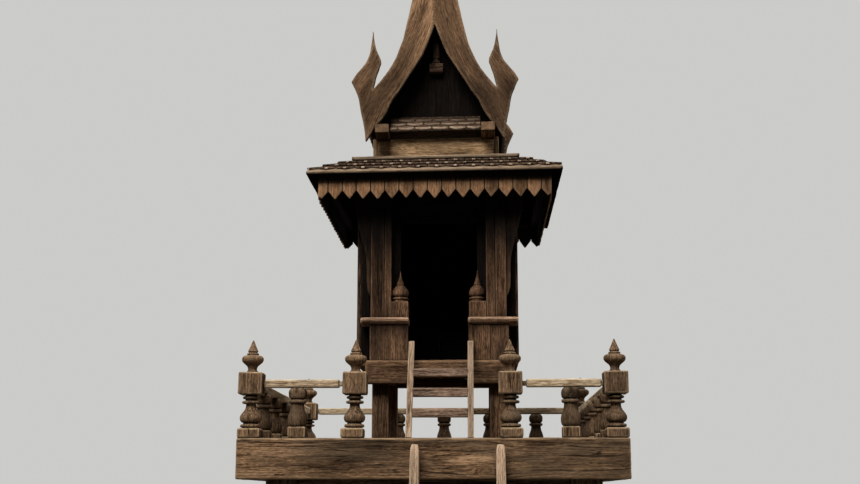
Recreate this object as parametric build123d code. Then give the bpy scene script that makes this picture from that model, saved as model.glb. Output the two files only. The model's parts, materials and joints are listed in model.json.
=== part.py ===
from build123d import *
import math
import os

# ---------------------------------------------------------------------------
# Spirit house: a small timber Thai-style shrine on a balustraded platform,
# carried by a four-legged stand, with a ground ladder and a short house ladder.
# Millimetres. X to the right, Y to the back, Z up. The front faces -Y.
# All pieces are drawn in the platform's frame (y = 0 is the face of the front
# board, z = 0 is the top of the deck) and moved to the part frame at the end:
# origin on the ground, in the middle of the whole object's box.
# ---------------------------------------------------------------------------

# stand and platform
DECK_H = 1000.0          # top of the deck above the ground
PLAT_W = 520.0           # platform width
PLAT_D = 600.0           # platform depth
BOARD_H = 54.0           # height of the boards round the platform
BOARD_T = 14.0
DECK_T = 12.0
LEG_S = 42.0             # square stand legs
LEG_X = 205.0            # leg centres
LEG_Y0, LEG_Y1 = 60.0, 540.0
RAIL_H = 46.0            # rails under the deck
STRETCH_Z = 260.0        # height of the low stretchers above the ground
STRETCH_H = 34.0

# balustrade
NEWEL_X = 243.8
GATE_X = 104.0
NEWEL_S = 31.0
NEWEL_B = 32.4           # square block of a newel
BAL_Y = 16.2             # line of the front balustrade
BAL_YR = PLAT_D - 16.2
RAIL_Z0, RAIL_Z1 = 67.0, 78.0
RAIL_T = 13.0
FRONT_BAL_X = (-181.0, 183.5)
SIDE_BAL_Y = (110.8, 205.4, 300.0, 394.6, 489.2)
REAR_BAL_X = (-163.0, -81.5, 0.0, 81.5, 163.0)

# ladders
GL_X = (-22.3, 89.7)     # ground ladder rail centres
GL_W = 12.4
GL_FOOT_Y = -262.0
GL_TOP_Y = -14.0
GL_TOP_Z = -9.5
GL_DEPTH = 20.0
GL_RUNGS = 10
HL_X = (-31.9, 50.7)     # house ladder rail centres
HL_W = 8.2
HL_RUNG_Z = ((91.0, 11.2), (62.6, 11.9), (34.2, 12.4))     # middle and height of each rung
HL_TOP_Z = 136.2

# house
PC = 5.5                 # porch centre line
RC = 3.0                 # room centre line
KC = 1.0                 # roof centre line
HY = 230.0               # middle of the house, front to back
FLOOR_Z = 113.0
FRONT_Y = 100.0          # face of the porch
WALL_Y = 130.0           # face of the front wall
WALL_YR = 345.0
WALL_T = 8.0
ROOM_W = 234.0
WALL_TOP = 409.5

# skirt roof
SK_X, SK_Y = 182.0, 200.0        # half sizes at the eave
HS = 250.0                       # middle of the skirt roof, front to back
SK_RUN = 60.0
SK_Z0, SK_Z1 = 380.0, 409.5
SK_T = 6.5
VAL_IN = 15.0
VAL_T = 4.0
VAL_TIP, VAL_NOTCH = 338.2, 350.0
VAL_BOARD = 20.3

# upper part
FR_X = 93.0              # half width of the frieze
FR_Y0, FR_Y1 = 125.0, 335.0
BB_Y0 = 85.0             # face of the front bargeboard
BB_T = 8.0
BB_Y1 = 2 * HY - BB_Y0   # back face of the rear bargeboard


def box(x0, x1, y0, y1, z0, z1):
    return Pos((x0 + x1) / 2, (y0 + y1) / 2, (z0 + z1) / 2) * Box(x1 - x0, y1 - y0, z1 - z0)


def prism_xz(pts, y0, y1):
    """Outline in X and Z, drawn out from y0 to y1."""
    f = make_face(Polyline(*[(x, y0, z) for x, z in pts], close=True))
    return extrude(f, amount=y1 - y0, dir=(0, 1, 0))


def prism_yz(pts, x0, x1):
    f = make_face(Polyline(*[(x0, y, z) for y, z in pts], close=True))
    return extrude(f, amount=x1 - x0, dir=(1, 0, 0))


def prism_xy(pts, z0, z1):
    f = make_face(Polyline(*[(x, y, z0) for x, y in pts], close=True))
    return extrude(f, amount=z1 - z0, dir=(0, 0, 1))


def smooth(pts, n=4):
    """Catmull-Rom points through pts, ends kept."""
    out = []
    for i in range(len(pts) - 1):
        p0 = pts[i - 1] if i > 0 else pts[i]
        p1, p2 = pts[i], pts[i + 1]
        p3 = pts[i + 2] if i + 2 < len(pts) else pts[i + 1]
        for k in range(n):
            t = k / n
            q = []
            for a, b, c, d in zip(p0, p1, p2, p3):
                q.append(0.5 * (2 * b + (c - a) * t + (2 * a - 5 * b + 4 * c - d) * t * t
                                + (3 * b - a - 3 * c + d) * t ** 3))
            out.append(tuple(q))
    out.append(tuple(pts[-1]))
    return out


def turned(profile):
    """Profile of (radius, z) turned about the Z axis."""
    pts = [(0, 0, profile[0][1])] + [(r, 0, z) for r, z in profile] + [(0, 0, profile[-1][1])]
    clean = [pts[0]]
    for p in pts[1:]:
        if math.dist(p, clean[-1]) > 1e-6:
            clean.append(p)
    f = make_face(Polyline(*clean, close=True))
    return revolve(f, axis=Axis.Z, revolution_arc=360)


def block(s, z0, z1, c=1.2):
    b = Pos(0, 0, (z0 + z1) / 2) * Box(s, s, z1 - z0)
    return chamfer(b.edges(), c)


# --- turned posts ----------------------------------------------------------

def newel():
    low = turned([(10.4, 12.0), (10.4, 13.9), (12.9, 14.5), (13.5, 15.8), (13.4, 17.4), (12.4, 18.4), (9.8, 18.8), (9.6, 20.6)]
                 + smooth([(11.6, 21.0), (13.6, 23.4), (14.4, 26.6), (13.9, 29.6), (12.0, 32.8), (9.2, 36.4), (7.4, 39.8), (6.8, 43.0)], 2)
                 + [(6.9, 45.4), (11.0, 46.0), (12.0, 47.0), (12.0, 48.4), (11.1, 49.3), (7.9, 49.7), (7.8, 51.8), (10.4, 52.3),
                    (11.3, 53.3), (11.3, 54.7), (10.4, 55.6), (8.2, 56.0), (8.2, 58.2)])
    top = turned([(7.9, 86.6), (7.6, 88.6), (6.2, 89.8), (5.8, 92.0), (6.0, 94.6), (7.0, 97.2)]
                 + smooth([(7.6, 98.2), (9.6, 100.2), (12.6, 102.4), (14.5, 104.6), (14.6, 106.4), (13.4, 108.6), (10.9, 110.6), (7.6, 111.9)], 2)
                 + [(6.5, 112.2), (6.5, 112.8), (8.4, 113.1), (8.7, 114.0), (8.4, 115.1), (6.5, 115.4), (6.5, 116.0), (7.3, 116.3),
                    (6.4, 118.0), (4.7, 121.6), (2.8, 126.2), (1.1, 130.4), (0.4, 131.6)])
    return block(NEWEL_S, 0, 12.6) + low + block(NEWEL_B, 57.6, 87.2, 1.6) + top


def baluster(top=RAIL_Z0):
    body = turned([(9.8, 14.4), (9.8, 15.6)]
                  + smooth([(10.8, 15.9), (12.2, 18.4), (12.8, 22.4), (12.2, 27.6), (10.4, 33.6), (8.5, 38.4), (7.6, 41.4), (7.6, 44.0)], 2)
                  + [(7.7, 45.4), (10.6, 46.0), (11.4, 47.2), (11.3, 48.6), (10.2, 49.6), (7.8, 50.0), (7.8, 53.0)])
    cap = Pos(0, 0, (52.2 + top) / 2) * Box(23.6, 23.6, top - 52.2)
    cap = fillet(cap.edges().filter_by(Axis.Z), 7.0)
    cap = chamfer(cap.edges().group_by(Axis.Z)[0], 2.0)
    cap = chamfer(cap.edges().group_by(Axis.Z)[-1], 2.4)
    return block(23.6, 0, 15.0, 1.0) + body + cap


def hand_rail_x(x0, x1, y, tl, tr):
    """Front or rear rail along X with a thinner tenon of length tl and tr at its ends."""
    r = box(x0 + tl, x1 - tr, y - RAIL_T / 2, y + RAIL_T / 2, RAIL_Z0, RAIL_Z1)
    r = fillet(r.edges().filter_by(Axis.X), 1.8)
    if tl > 0:
        r += box(x0, x0 + tl + 1, y - 3.5, y + 3.5, RAIL_Z0 + 2, RAIL_Z1 - 2.5)
    if tr > 0:
        r += box(x1 - tr - 1, x1, y - 3.5, y + 3.5, RAIL_Z0 + 2, RAIL_Z1 - 2.5)
    return r


def hand_rail_y(x, y0, y1, t):
    r = box(x - RAIL_T / 2, x + RAIL_T / 2, y0 + t, y1 - t, RAIL_Z0, RAIL_Z1)
    r = fillet(r.edges().filter_by(Axis.Y), 1.8)
    r += box(x - 3.5, x + 3.5, y0, y0 + t + 1, RAIL_Z0 + 2, RAIL_Z1 - 2.5)
    r += box(x - 3.5, x + 3.5, y1 - t - 1, y1, RAIL_Z0 + 2, RAIL_Z1 - 2.5)
    return r


NODES = {}


def node(name, *solids):
    out = []
    for s in solids:
        out.extend(s.solids())
    NODES[name] = out


# --- stand -----------------------------------------------------------------
G = -DECK_H
UNDER = -BOARD_H                     # underside of the deck boards round the edge
legs = []
for sx in (-1, 1):
    for y in (LEG_Y0, LEG_Y1):
        b = box(sx * LEG_X - LEG_S / 2, sx * LEG_X + LEG_S / 2, y - LEG_S / 2, y + LEG_S / 2, G, -DECK_T)
        legs.append(chamfer(b.edges().filter_by(Axis.Z), 2.0))
node("stand_legs", *legs)
h = LEG_S / 2
rz0, rz1 = -DECK_T - 62.0 - RAIL_H + 30.0, -DECK_T
rails = []
for y in (LEG_Y0, LEG_Y1):
    rails.append(box(-LEG_X + h, LEG_X - h, y - 11, y + 11, rz0, rz1))
for sx in (-1, 1):
    rails.append(box(sx * LEG_X - 11, sx * LEG_X + 11, LEG_Y0 + h, LEG_Y1 - h, rz0, rz1))
node("stand_top_rails", *rails)
sz0 = G + STRETCH_Z
st = []
for sx in (-1, 1):
    st.append(box(sx * LEG_X - 9, sx * LEG_X + 9, LEG_Y0 + h, LEG_Y1 - h, sz0, sz0 + STRETCH_H))
st.append(box(-LEG_X + h, LEG_X - h, LEG_Y1 - 9, LEG_Y1 + 9, sz0, sz0 + STRETCH_H))
st.append(box(-LEG_X + h, LEG_X - h, LEG_Y0 - 9, LEG_Y0 + 9, sz0, sz0 + STRETCH_H))
node("stand_stretchers", *st)

# --- platform --------------------------------------------------------------
hw = PLAT_W / 2
node("deck", box(-hw + BOARD_T, hw - BOARD_T, BOARD_T, PLAT_D - BOARD_T, -DECK_T, 0))
fb = box(-hw, hw, 0, BOARD_T, -BOARD_H, 0)
node("deck_front_board", chamfer(fb.edges().filter_by(Axis.X).sort_by(Axis.Y)[:2], 2.2))
rb = box(-hw, hw, PLAT_D - BOARD_T, PLAT_D, -BOARD_H, 0)
node("deck_rear_board", chamfer(rb.edges().filter_by(Axis.X).sort_by(Axis.Y)[-2:], 2.2))
node("deck_side_boards", box(-hw, -hw + BOARD_T, BOARD_T, PLAT_D - BOARD_T, -BOARD_H, 0),
     box(hw - BOARD_T, hw, BOARD_T, PLAT_D - BOARD_T, -BOARD_H, 0))

# --- balustrade ------------------------------------------------------------
nw = newel()
node("corner_newels", *[Pos(sx * NEWEL_X, y, 0) * nw for sx in (-1, 1) for y in (BAL_Y, BAL_YR)])
node("gate_newels", *[Pos(sx * GATE_X, BAL_Y, 0) * nw for sx in (-1, 1)])
bl = baluster()
bals = [Pos(x, BAL_Y, 0) * bl for x in FRONT_BAL_X]
bals += [Pos(sx * NEWEL_X, y, 0) * bl for sx in (-1, 1) for y in SIDE_BAL_Y]
bals += [Pos(x, BAL_YR, 0) * bl for x in REAR_BAL_X]
node("balusters", *bals)
n2 = NEWEL_B / 2
node("hand_rails",
     hand_rail_x(-NEWEL_X + n2, -GATE_X - n2, BAL_Y, 1.2, 5.0),
     hand_rail_x(GATE_X + n2, NEWEL_X - n2, BAL_Y, 5.0, 2.5),
     hand_rail_x(-NEWEL_X + n2, NEWEL_X - n2, BAL_YR, 2.5, 2.5),
     hand_rail_y(-NEWEL_X, BAL_Y + n2, BAL_YR - n2, 2.5),
     hand_rail_y(NEWEL_X, BAL_Y + n2, BAL_YR - n2, 2.5))

# --- ground ladder ---------------------------------------------------------
gl_run = GL_TOP_Y - GL_FOOT_Y
gl_len = math.hypot(gl_run, GL_TOP_Z - G)
gl_nz = gl_run / gl_len              # lean
half = GL_DEPTH / 2 / ((GL_TOP_Z - G) / gl_len)


def gl_y(z):
    return GL_FOOT_Y + gl_run * (z - G) / (GL_TOP_Z - G)


side = prism_yz([(gl_y(G) - half, G), (gl_y(G) + half, G), (gl_y(GL_TOP_Z) + half, GL_TOP_Z),
                 (gl_y(GL_TOP_Z) - half, GL_TOP_Z)], -GL_W / 2, GL_W / 2)
w = GL_W / 2
front_outline = prism_xz([(-w, G), (w, G), (w, -64), (4.4, -18), (3.4, -12.5), (1.6, -9.9), (-1.6, -9.9),
                          (-3.4, -12.5), (-4.4, -18), (-w, -64)], -500, 50)
gl_rail = side & front_outline
node("ground_ladder_rails", *[Pos(x, 0, 0) * gl_rail for x in GL_X])
rungs = []
for i in range(GL_RUNGS):
    z = GL_TOP_Z - 78.0 - i * (GL_TOP_Z - 78.0 - G) / (GL_RUNGS + 0.35)
    yc = gl_y(z)
    r = box(GL_X[0] + w, GL_X[1] - w, yc - 10.5, yc + 10.5, z - 5.5, z + 5.5)
    rungs.append(chamfer(r.edges().filter_by(Axis.X), 1.5))
node("ground_ladder_rungs", *rungs)

# --- house ladder ----------------------------------------------------------
HL_T = 9.0
hl_slope = 85.0 / 140.0


def hl_y(z):
    return 10.0 + z * hl_slope - 3.0


hl_h = HL_T / 2 * math.hypot(1, hl_slope)
hl = prism_yz([(hl_y(0) - hl_h, 0), (hl_y(0) + hl_h, 0), (hl_y(HL_TOP_Z) + hl_h * 0.6, HL_TOP_Z),
               (hl_y(HL_TOP_Z + 3) - hl_h * 0.2, HL_TOP_Z + 2.5), (hl_y(HL_TOP_Z) - hl_h, HL_TOP_Z)], -HL_W / 2, HL_W / 2)
node("house_ladder_rails", *[Pos(x, 0, 0) * hl for x in HL_X])
hr = []
for z, h in HL_RUNG_Z:
    yc = hl_y(z)
    hr.append(box(HL_X[0] + HL_W / 2, HL_X[1] - HL_W / 2, yc - 6, yc + 6, z - h / 2, z + h / 2))
node("house_ladder_rungs", *hr)

# --- house base ------------------------------------------------------------
BX0, BX1 = PC - 104.0, PC + 104.0
node("house_legs", *[box(x - 12, x + 12, y - 12, y + 12, 0, 94.0) for x in (PC - 84, PC + 84) for y in (134.0, 318.0)])
fbm = box(BX0, BX1, FRONT_Y, FRONT_Y + 18, 80.0, FLOOR_Z)
fbm = chamfer(fbm.edges().filter_by(Axis.X).sort_by(Axis.Y)[:2], 1.5)
node("house_front_beam", fbm - box(HL_X[0] + 1, HL_X[1] - 1, FRONT_Y - 5, FRONT_Y + 25, 70.0, 89.0))
node("house_floor_beams",
     box(PC - 98, PC - 74, 118, 328, 94.0, 107.0),
     box(PC + 74, PC + 98, 118, 328, 94.0, 107.0),
     box(PC - 104, PC + 104, 330, 348, 93.5, 107.0))
node("house_floor", box(RC - ROOM_W / 2 + 2, RC + ROOM_W / 2 - 2, 118, 352, 107.0, FLOOR_Z))

# --- porch -----------------------------------------------------------------
node("porch_panels", box(-92.6, -38, FRONT_Y + 1, WALL_Y, FLOOR_Z, 164), box(48, 105.2, FRONT_Y + 1, WALL_Y, FLOOR_Z, 164))
ledge_l = box(-106, -37, FRONT_Y - 7, WALL_Y, 164, 173.5)
ledge_r = box(47, 119, FRONT_Y - 7, WALL_Y, 164, 173.5)
node("porch_ledges", *[fillet(l.edges().filter_by(Axis.X).sort_by(Axis.Y)[:2], 3.0) for l in (ledge_l, ledge_r)])
node("porch_posts", box(-92.2, -62.5, FRONT_Y + 4, WALL_Y, 173.5, 399.0), box(73.5, 102.7, FRONT_Y + 4, WALL_Y, 173.5, 399.0))


def porch_newel():
    t = turned([(10.3, 197.0), (10.3, 199.5), (9.6, 200.3), (11.2, 201.2), (12.0, 202.2), (11.7, 203.5), (9.6, 204.1), (9.4, 204.8)]
               + smooth([(10.0, 205.2), (11.9, 207.6), (12.4, 210.6), (11.6, 214.2), (9.6, 217.3), (6.7, 220.7)], 2)
               + [(5.6, 221.4), (4.9, 222.1), (5.6, 222.8), (5.0, 224.6), (3.4, 229.0), (1.9, 234.6), (0.8, 240.0), (0.5, 243.0)])
    return block(24.6, 173.5, 197.6, 1.2) + t


pn = porch_newel()
node("porch_newels", Pos(-50.1, 116.5, 0) * pn, Pos(61.0, 116.5, 0) * pn)
br_r = smooth([(0.0, 205.0), (4.5, 214.0), (6.0, 226.0), (6.5, 254.0), (9.0, 272.0), (14.0, 290.0), (19.0, 310.0),
               (23.0, 330.0), (26.0, 350.0), (27.0, 372.0)], 3) + [(27.0, 386.0), (0.0, 399.0)]
bracket_r = prism_xz([(102.7 + x, z) for x, z in br_r], 108.0, 118.0)
bracket_l = prism_xz([(-92.2 - x, z) for x, z in br_r], 108.0, 118.0)
node("eave_brackets", bracket_l, bracket_r)

# --- room ------------------------------------------------------------------
RX0, RX1 = RC - ROOM_W / 2, RC + ROOM_W / 2
DX0, DX1 = -50.0, 61.0               # doorway
DOOR_TOP = 318.0
node("front_wall_sides", box(RX0, DX0, WALL_Y, WALL_Y + WALL_T, FLOOR_Z, WALL_TOP),
     box(DX1, RX1, WALL_Y, WALL_Y + WALL_T, FLOOR_Z, WALL_TOP))
node("front_wall_head", box(DX0, DX1, WALL_Y, WALL_Y + WALL_T, DOOR_TOP, WALL_TOP))
node("side_walls", box(RX0, RX0 + WALL_T, WALL_Y + WALL_T, WALL_YR, FLOOR_Z, WALL_TOP),
     box(RX1 - WALL_T, RX1, WALL_Y + WALL_T, WALL_YR, FLOOR_Z, WALL_TOP))
node("rear_wall", box(RX0 + WALL_T, RX1 - WALL_T, WALL_YR - WALL_T, WALL_YR, FLOOR_Z, WALL_TOP))

# --- skirt roof ------------------------------------------------------------


def frustum(dz):
    a = Plane.XY.offset(SK_Z0 + dz) * Rectangle(2 * SK_X, 2 * SK_Y)
    b = Plane.XY.offset(SK_Z1 + dz) * Rectangle(2 * (SK_X - SK_RUN), 2 * (SK_Y - SK_RUN))
    return loft([a.face(), b.face()])


upper = frustum(0.0)
edge = Pos(0, 0, SK_Z0 - SK_T / 2) * Box(2 * SK_X, 2 * SK_Y, SK_T)
shell = (upper + edge) - frustum(-SK_T)
ix, iy = SK_X - SK_RUN, SK_Y - SK_RUN
shell = shell - Pos(0, 0, SK_Z1 - 10) * Box(2 * ix, 2 * iy, 60)
e = 30.0
front_cut = prism_xy([(-SK_X - e, -SK_Y - e), (SK_X + e, -SK_Y - e), (ix, -iy), (-ix, -iy)], 340, 440)
right_cut = prism_xy([(SK_X + e, -SK_Y - e), (SK_X + e, SK_Y + e), (ix, iy), (ix, -iy)], 340, 440)
sk_front = shell & front_cut
sk_right = shell & right_cut
sk_rear = sk_front.mirror(Plane.XZ)
sk_left = sk_right.mirror(Plane.YZ)
place = Pos(KC, HS, 0)
node("skirt_roof_front_rear", place * sk_front, place * sk_rear)
node("skirt_roof_sides", place * sk_left, place * sk_right)

vx, vy = SK_X - VAL_IN, SK_Y - VAL_IN


def comb(half_len):
    """Pointed valance boards: full boards in the middle, narrower ones at the ends."""
    n = int((2 * half_len) // VAL_BOARD)
    if n % 2 == 0:
        n -= 1
    joints = [(-n / 2 + i) * VAL_BOARD for i in range(n + 1)]
    edges = [-half_len] + joints + [half_len]
    pts = [(-half_len, SK_Z0 + 0.4)]
    for i in range(len(edges) - 1):
        a, b = edges[i], edges[i + 1]
        first, last = i == 0, i == len(edges) - 2
        pts.append((a, VAL_TIP + 6 if first else VAL_NOTCH))
        if first:
            pts.append((a + 0.35 * (b - a), VAL_TIP + 0.6))
        elif last:
            pts.append((b - 0.35 * (b - a), VAL_TIP + 0.6))
        else:
            pts.append(((a + b) / 2 - 1.0, VAL_TIP))
            pts.append(((a + b) / 2 + 1.0, VAL_TIP))
    pts.append((half_len, VAL_TIP + 6))
    pts.append((half_len, SK_Z0 + 0.4))
    return pts


cf = comb(vx)
node("valance_front", prism_xz([(KC + x, z) for x, z in cf], HS - vy, HS - vy + VAL_T))
node("valance_rear", prism_xz([(KC + x, z) for x, z in cf], HS + vy - VAL_T, HS + vy))
cs = comb(vy - VAL_T)
node("valance_sides", prism_yz([(HS + y, z) for y, z in cs], KC - vx, KC - vx + VAL_T),
     prism_yz([(HS + y, z) for y, z in cs], KC + vx - VAL_T, KC + vx))

# battens behind the valances, under the slopes
bz0, bz1 = 371.5, SK_Z0 - SK_T + (VAL_IN + VAL_T) * (SK_Z1 - SK_Z0) / SK_RUN
bx, by = vx - VAL_T, vy - VAL_T
node("eave_battens",
     box(KC - bx, KC + bx, HS - by, HS - by + 11, bz0, bz1), box(KC - bx, KC + bx, HS + by - 11, HS + by, bz0, bz1),
     box(KC - bx, KC - bx + 11, HS - by + 11.4, HS + by - 11.4, bz0, bz1),
     box(KC + bx - 11, KC + bx, HS - by + 11.4, HS + by - 11.4, bz0, bz1))

Z1 = SK_Z1 + 5.5                     # top of the top board
ring = box(KC - ix - 1, KC + ix + 1, HS - iy - 3, HS + iy + 3, SK_Z1, Z1)
ring -= box(KC - 82, KC + 82, FR_Y0 + 10, FR_Y1 - 10, SK_Z1 - 1, SK_Z1 + 8)
node("skirt_top_board", ring)

# --- frieze and gable ------------------------------------------------------
FZ = 446.0
UP_T = 469.0                         # top of the upper frieze board
PUR_X0, PUR_X1 = 67.0, 87.4          # purlins, from the roof's centre line
PUR_Z0, PUR_Z1 = 443.5, 456.5


def frieze(y0, y1, out):
    """Board with a set back upper board between the purlins; out is the side that faces outwards."""
    lo = box(KC - FR_X, KC + FR_X, y0, y1, Z1, FZ)
    a, b = (y0 + 3, y1) if out < 0 else (y0, y1 - 3)
    f = lo + box(KC - 66.5, KC + 66.5, a, b, FZ, UP_T)
    for sx in (-1, 1):
        c, d = sorted((KC + sx * PUR_X0, KC + sx * PUR_X1))
        f -= box(c, d, y0 - 1, y1 + 1, PUR_Z0, PUR_Z1)
    return f


node("frieze_front_rear", frieze(FR_Y0, FR_Y0 + 8, -1), frieze(FR_Y1 - 8, FR_Y1, 1))
node("frieze_sides",
     box(KC - FR_X, KC - FR_X + 8, FR_Y0 + 8, FR_Y1 - 8, Z1, FZ)
     - box(KC - PUR_X1, KC - PUR_X0, FR_Y0, FR_Y1, PUR_Z0, PUR_Z1),
     box(KC + FR_X - 8, KC + FR_X, FR_Y0 + 8, FR_Y1 - 8, Z1, FZ)
     - box(KC + PUR_X0, KC + PUR_X1, FR_Y0, FR_Y1, PUR_Z0, PUR_Z1))
PUR = []
for sx in (-1, 1):
    a, b = sorted((KC + sx * PUR_X0, KC + sx * PUR_X1))
    p = box(a, b, BB_Y0 - 3, BB_Y1 + 3, PUR_Z0, PUR_Z1)
    PUR.append(chamfer(p.edges(), 0.8))
node("roof_purlins", *PUR)


def pent(front):
    """Small tiled lean-to over the frieze, between the purlins."""
    s = [(106.0, 451.0), (106.0, 455.5), (124.0, 479.5), (126.0, 479.5), (126.0, 468.8), (128.0, 468.0), (128.0, 461.5), (111.0, 451.0)]
    if not front:
        s = [(2 * HY - y, z) for y, z in s]
    s2 = prism_yz(s, KC - 66.5, KC + 66.5)
    return s2


node("gable_pents", pent(True) - frieze(FR_Y0, FR_Y0 + 8, -1), pent(False) - frieze(FR_Y1 - 8, FR_Y1, 1))

# curved gable roof, right half: upper surface and underside
TOP = smooth([(0.0, 702.0), (7.0, 672.0), (15.5, 634.0), (25.0, 600.0), (37.0, 568.0), (51.0, 541.0), (67.0, 516.5),
              (84.0, 494.0), (100.0, 476.0), (106.0, 470.0)], 3)
UND = smooth([(0.0, 664.0), (7.0, 632.0), (16.0, 598.0), (27.5, 568.0), (41.5, 540.0), (57.0, 515.0), (74.0, 491.5),
              (90.0, 471.5), (99.0, 462.0)], 3)
half_roof = TOP + UND[::-1]
roof_l = prism_xz([(KC - x, z) for x, z in half_roof], BB_Y0 + BB_T, BB_Y1 - BB_T)
roof_r = prism_xz([(KC + x, z) for x, z in half_roof], BB_Y0 + BB_T, BB_Y1 - BB_T)
node("gable_roof_left", roof_l)
node("gable_roof_right", roof_r)
cap = prism_xz([(KC + x, z) for x, z in [(-9.4, 679), (-5.0, 703.0), (-2.6, 711.0), (2.6, 711.0), (5.0, 703.0), (9.4, 679)]],
               BB_Y0 + BB_T, BB_Y1 - BB_T)
node("ridge_cap", cap - roof_l - roof_r)


def und_x(z):
    for (x0, z0), (x1, z1) in zip(UND, UND[1:]):
        if z1 <= z <= z0:
            return x0 + (x1 - x0) * (z0 - z) / (z0 - z1)
    return 0.0


def gable_panel(y0, y1, yk0, yk1):
    zs = [UP_T, 480, 500, 520, 540, 560, 580, 600, 620, 640, 655]
    g = [(und_x(z) - 0.6, z) for z in zs]
    pts = [(KC + x, z) for x, z in g] + [(KC - x, z) for x, z in g[::-1]]
    p = prism_xz(pts, y0, y1)
    p += box(KC - 9, KC + 11.3, yk0, yk1, 544.5, 558.5)
    p += prism_xz([(KC - 5.5, 558.5), (KC + 7.5, 558.5), (KC + 6.6, 562), (KC + 5.2, 566), (KC + 6.6, 571), (KC + 6.6, 589), (KC + 3.5, 597),
                   (KC - 1.5, 597), (KC - 4.6, 589), (KC - 4.6, 571), (KC - 3.2, 566), (KC - 4.6, 562)], yk0 + 2, yk1)
    return p


node("gable_panels", gable_panel(126.0, 133.0, 114.0, 126.0),
     gable_panel(2 * HY - 133.0, 2 * HY - 126.0, 2 * HY - 126.0, 2 * HY - 114.0))

# bargeboards with flame-shaped feet, right half from the tip downwards
outer = smooth([(0.6, 778.0), (3.2, 757.0), (8.0, 731.0), (15.0, 703.0), (24.0, 676.0), (33.6, 648.0), (40.2, 618.5),
                (47.0, 588.0), (56.0, 562.5), (66.6, 541.6), (79.7, 523.4), (90.4, 510.5)], 3)
flame_in = smooth([(90.4, 510.5), (86.3, 528.7), (81.8, 543.3), (79.4, 554.1), (85.6, 569.1), (89.2, 584.0), (91.2, 599.6)], 3)
flame_out = smooth([(91.8, 599.6), (92.9, 587.4), (94.7, 574.5), (96.8, 563.6), (101.1, 552.8), (107.7, 543.6),
                    (116.0, 533.4), (122.7, 522.2)], 3)
low = smooth([(122.7, 522.2), (117.6, 511.0), (112.5, 497.5), (108.8, 477.6), (105.6, 462.4), (103.0, 447.2), (101.4, 432.5)], 3)
inner = smooth([(100.2, 432.0), (94.5, 441.0), (88.6, 450.5), (79.5, 461.5), (70.5, 476.0), (63.0, 492.5), (51.4, 509.0),
                (31.6, 541.0), (20.0, 559.5), (14.6, 570.8), (7.0, 589.5), (0.0, 609.0)], 3)
R = outer + flame_in[1:] + flame_out + low[1:] + inner
R = [p for i, p in enumerate(R) if i == 0 or math.dist(p, R[i - 1]) > 1e-3]


def bargeboard(y0, y1):
    left = [(-x, z) for x, z in R[::-1]]
    pts = [(KC + x, z) for x, z in R] + [(KC + x, z) for x, z in left[1:]]
    b = prism_xz(pts, y0, y1)
    for sx in (-1, 1):
        a, c = sorted((KC + sx * PUR_X0, KC + sx * PUR_X1))
        b -= box(a, c, y0 - 5, y1 + 5, PUR_Z0, PUR_Z1)
    return b


node("bargeboard_front", bargeboard(BB_Y0, BB_Y0 + BB_T))
node("bargeboard_rear", bargeboard(BB_Y1 - BB_T, BB_Y1))

# --- part frame and files --------------------------------------------------
ymin = gl_y(G) - half
YM = (ymin + PLAT_D) / 2
os.makedirs("parts", exist_ok=True)
for name, solids in NODES.items():
    moved = [Pos(0, -YM, DECK_H) * s for s in solids]
    shape = moved[0] if len(moved) == 1 else Compound(children=moved)
    export_step(shape, f"parts/{name}.step")
print("nodes", len(NODES), "solids", sum(len(s) for s in NODES.values()), "YM", YM, "ymin", ymin)
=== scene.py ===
import bpy
import json
import math
import numpy as np
from mathutils import Vector, Matrix
from mathutils.geometry import delaunay_2d_cdt

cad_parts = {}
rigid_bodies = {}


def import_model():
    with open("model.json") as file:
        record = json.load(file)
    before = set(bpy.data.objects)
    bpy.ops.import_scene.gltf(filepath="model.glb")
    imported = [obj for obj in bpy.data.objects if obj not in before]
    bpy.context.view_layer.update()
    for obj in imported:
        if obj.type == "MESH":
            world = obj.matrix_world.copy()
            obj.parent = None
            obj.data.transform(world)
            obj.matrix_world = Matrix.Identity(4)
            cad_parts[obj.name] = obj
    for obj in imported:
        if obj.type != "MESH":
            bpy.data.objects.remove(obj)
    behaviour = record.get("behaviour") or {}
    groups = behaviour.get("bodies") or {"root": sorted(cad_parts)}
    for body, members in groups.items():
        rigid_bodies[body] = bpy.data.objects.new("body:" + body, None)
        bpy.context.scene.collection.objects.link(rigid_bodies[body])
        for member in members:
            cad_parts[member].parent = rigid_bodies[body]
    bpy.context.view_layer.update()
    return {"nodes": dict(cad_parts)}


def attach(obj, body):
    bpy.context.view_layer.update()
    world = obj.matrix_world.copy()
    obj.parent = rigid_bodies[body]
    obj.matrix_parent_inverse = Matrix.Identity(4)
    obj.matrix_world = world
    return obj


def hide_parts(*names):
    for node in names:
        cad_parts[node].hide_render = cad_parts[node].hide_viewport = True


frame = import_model()

# ---------------------------------------------------------------------------
# The pieces are drawn in the platform's frame, in millimetres: y = 0 is the
# face of the front board and z = 0 the top of the deck. place() takes them to
# the frame's metres.
# ---------------------------------------------------------------------------
YM = 163.84565852491897
G = -1000.0                  # ground
KC, HY = 1.0, 230.0          # roof centre line, middle of the house front to back
PC, RC = 5.5, 3.0            # porch and room centre lines


def place(p):
    p = np.asarray(p, float)
    return (p + np.array([0.0, -YM, 1000.0])) / 1000.0


def settle(X):
    """The old roof has sunk a little towards its left: under a degree, more at the skirt than at the gable."""
    X = X.copy()
    k = np.interp(X[:, 2], [300.0, 385.0, 450.0, 510.0, 780.0], [0.0, 0.0125, 0.0125, 0.007, 0.006])
    X[:, 2] += k * (X[:, 0] - 1.0)
    return X


# --- noise -------------------------------------------------------------------
_r = np.random.RandomState(11)
_PERM = np.tile(_r.permutation(256), 3)
_GRAD = _r.normal(size=(256, 3))
_GRAD /= np.linalg.norm(_GRAD, axis=1)[:, None]


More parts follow.
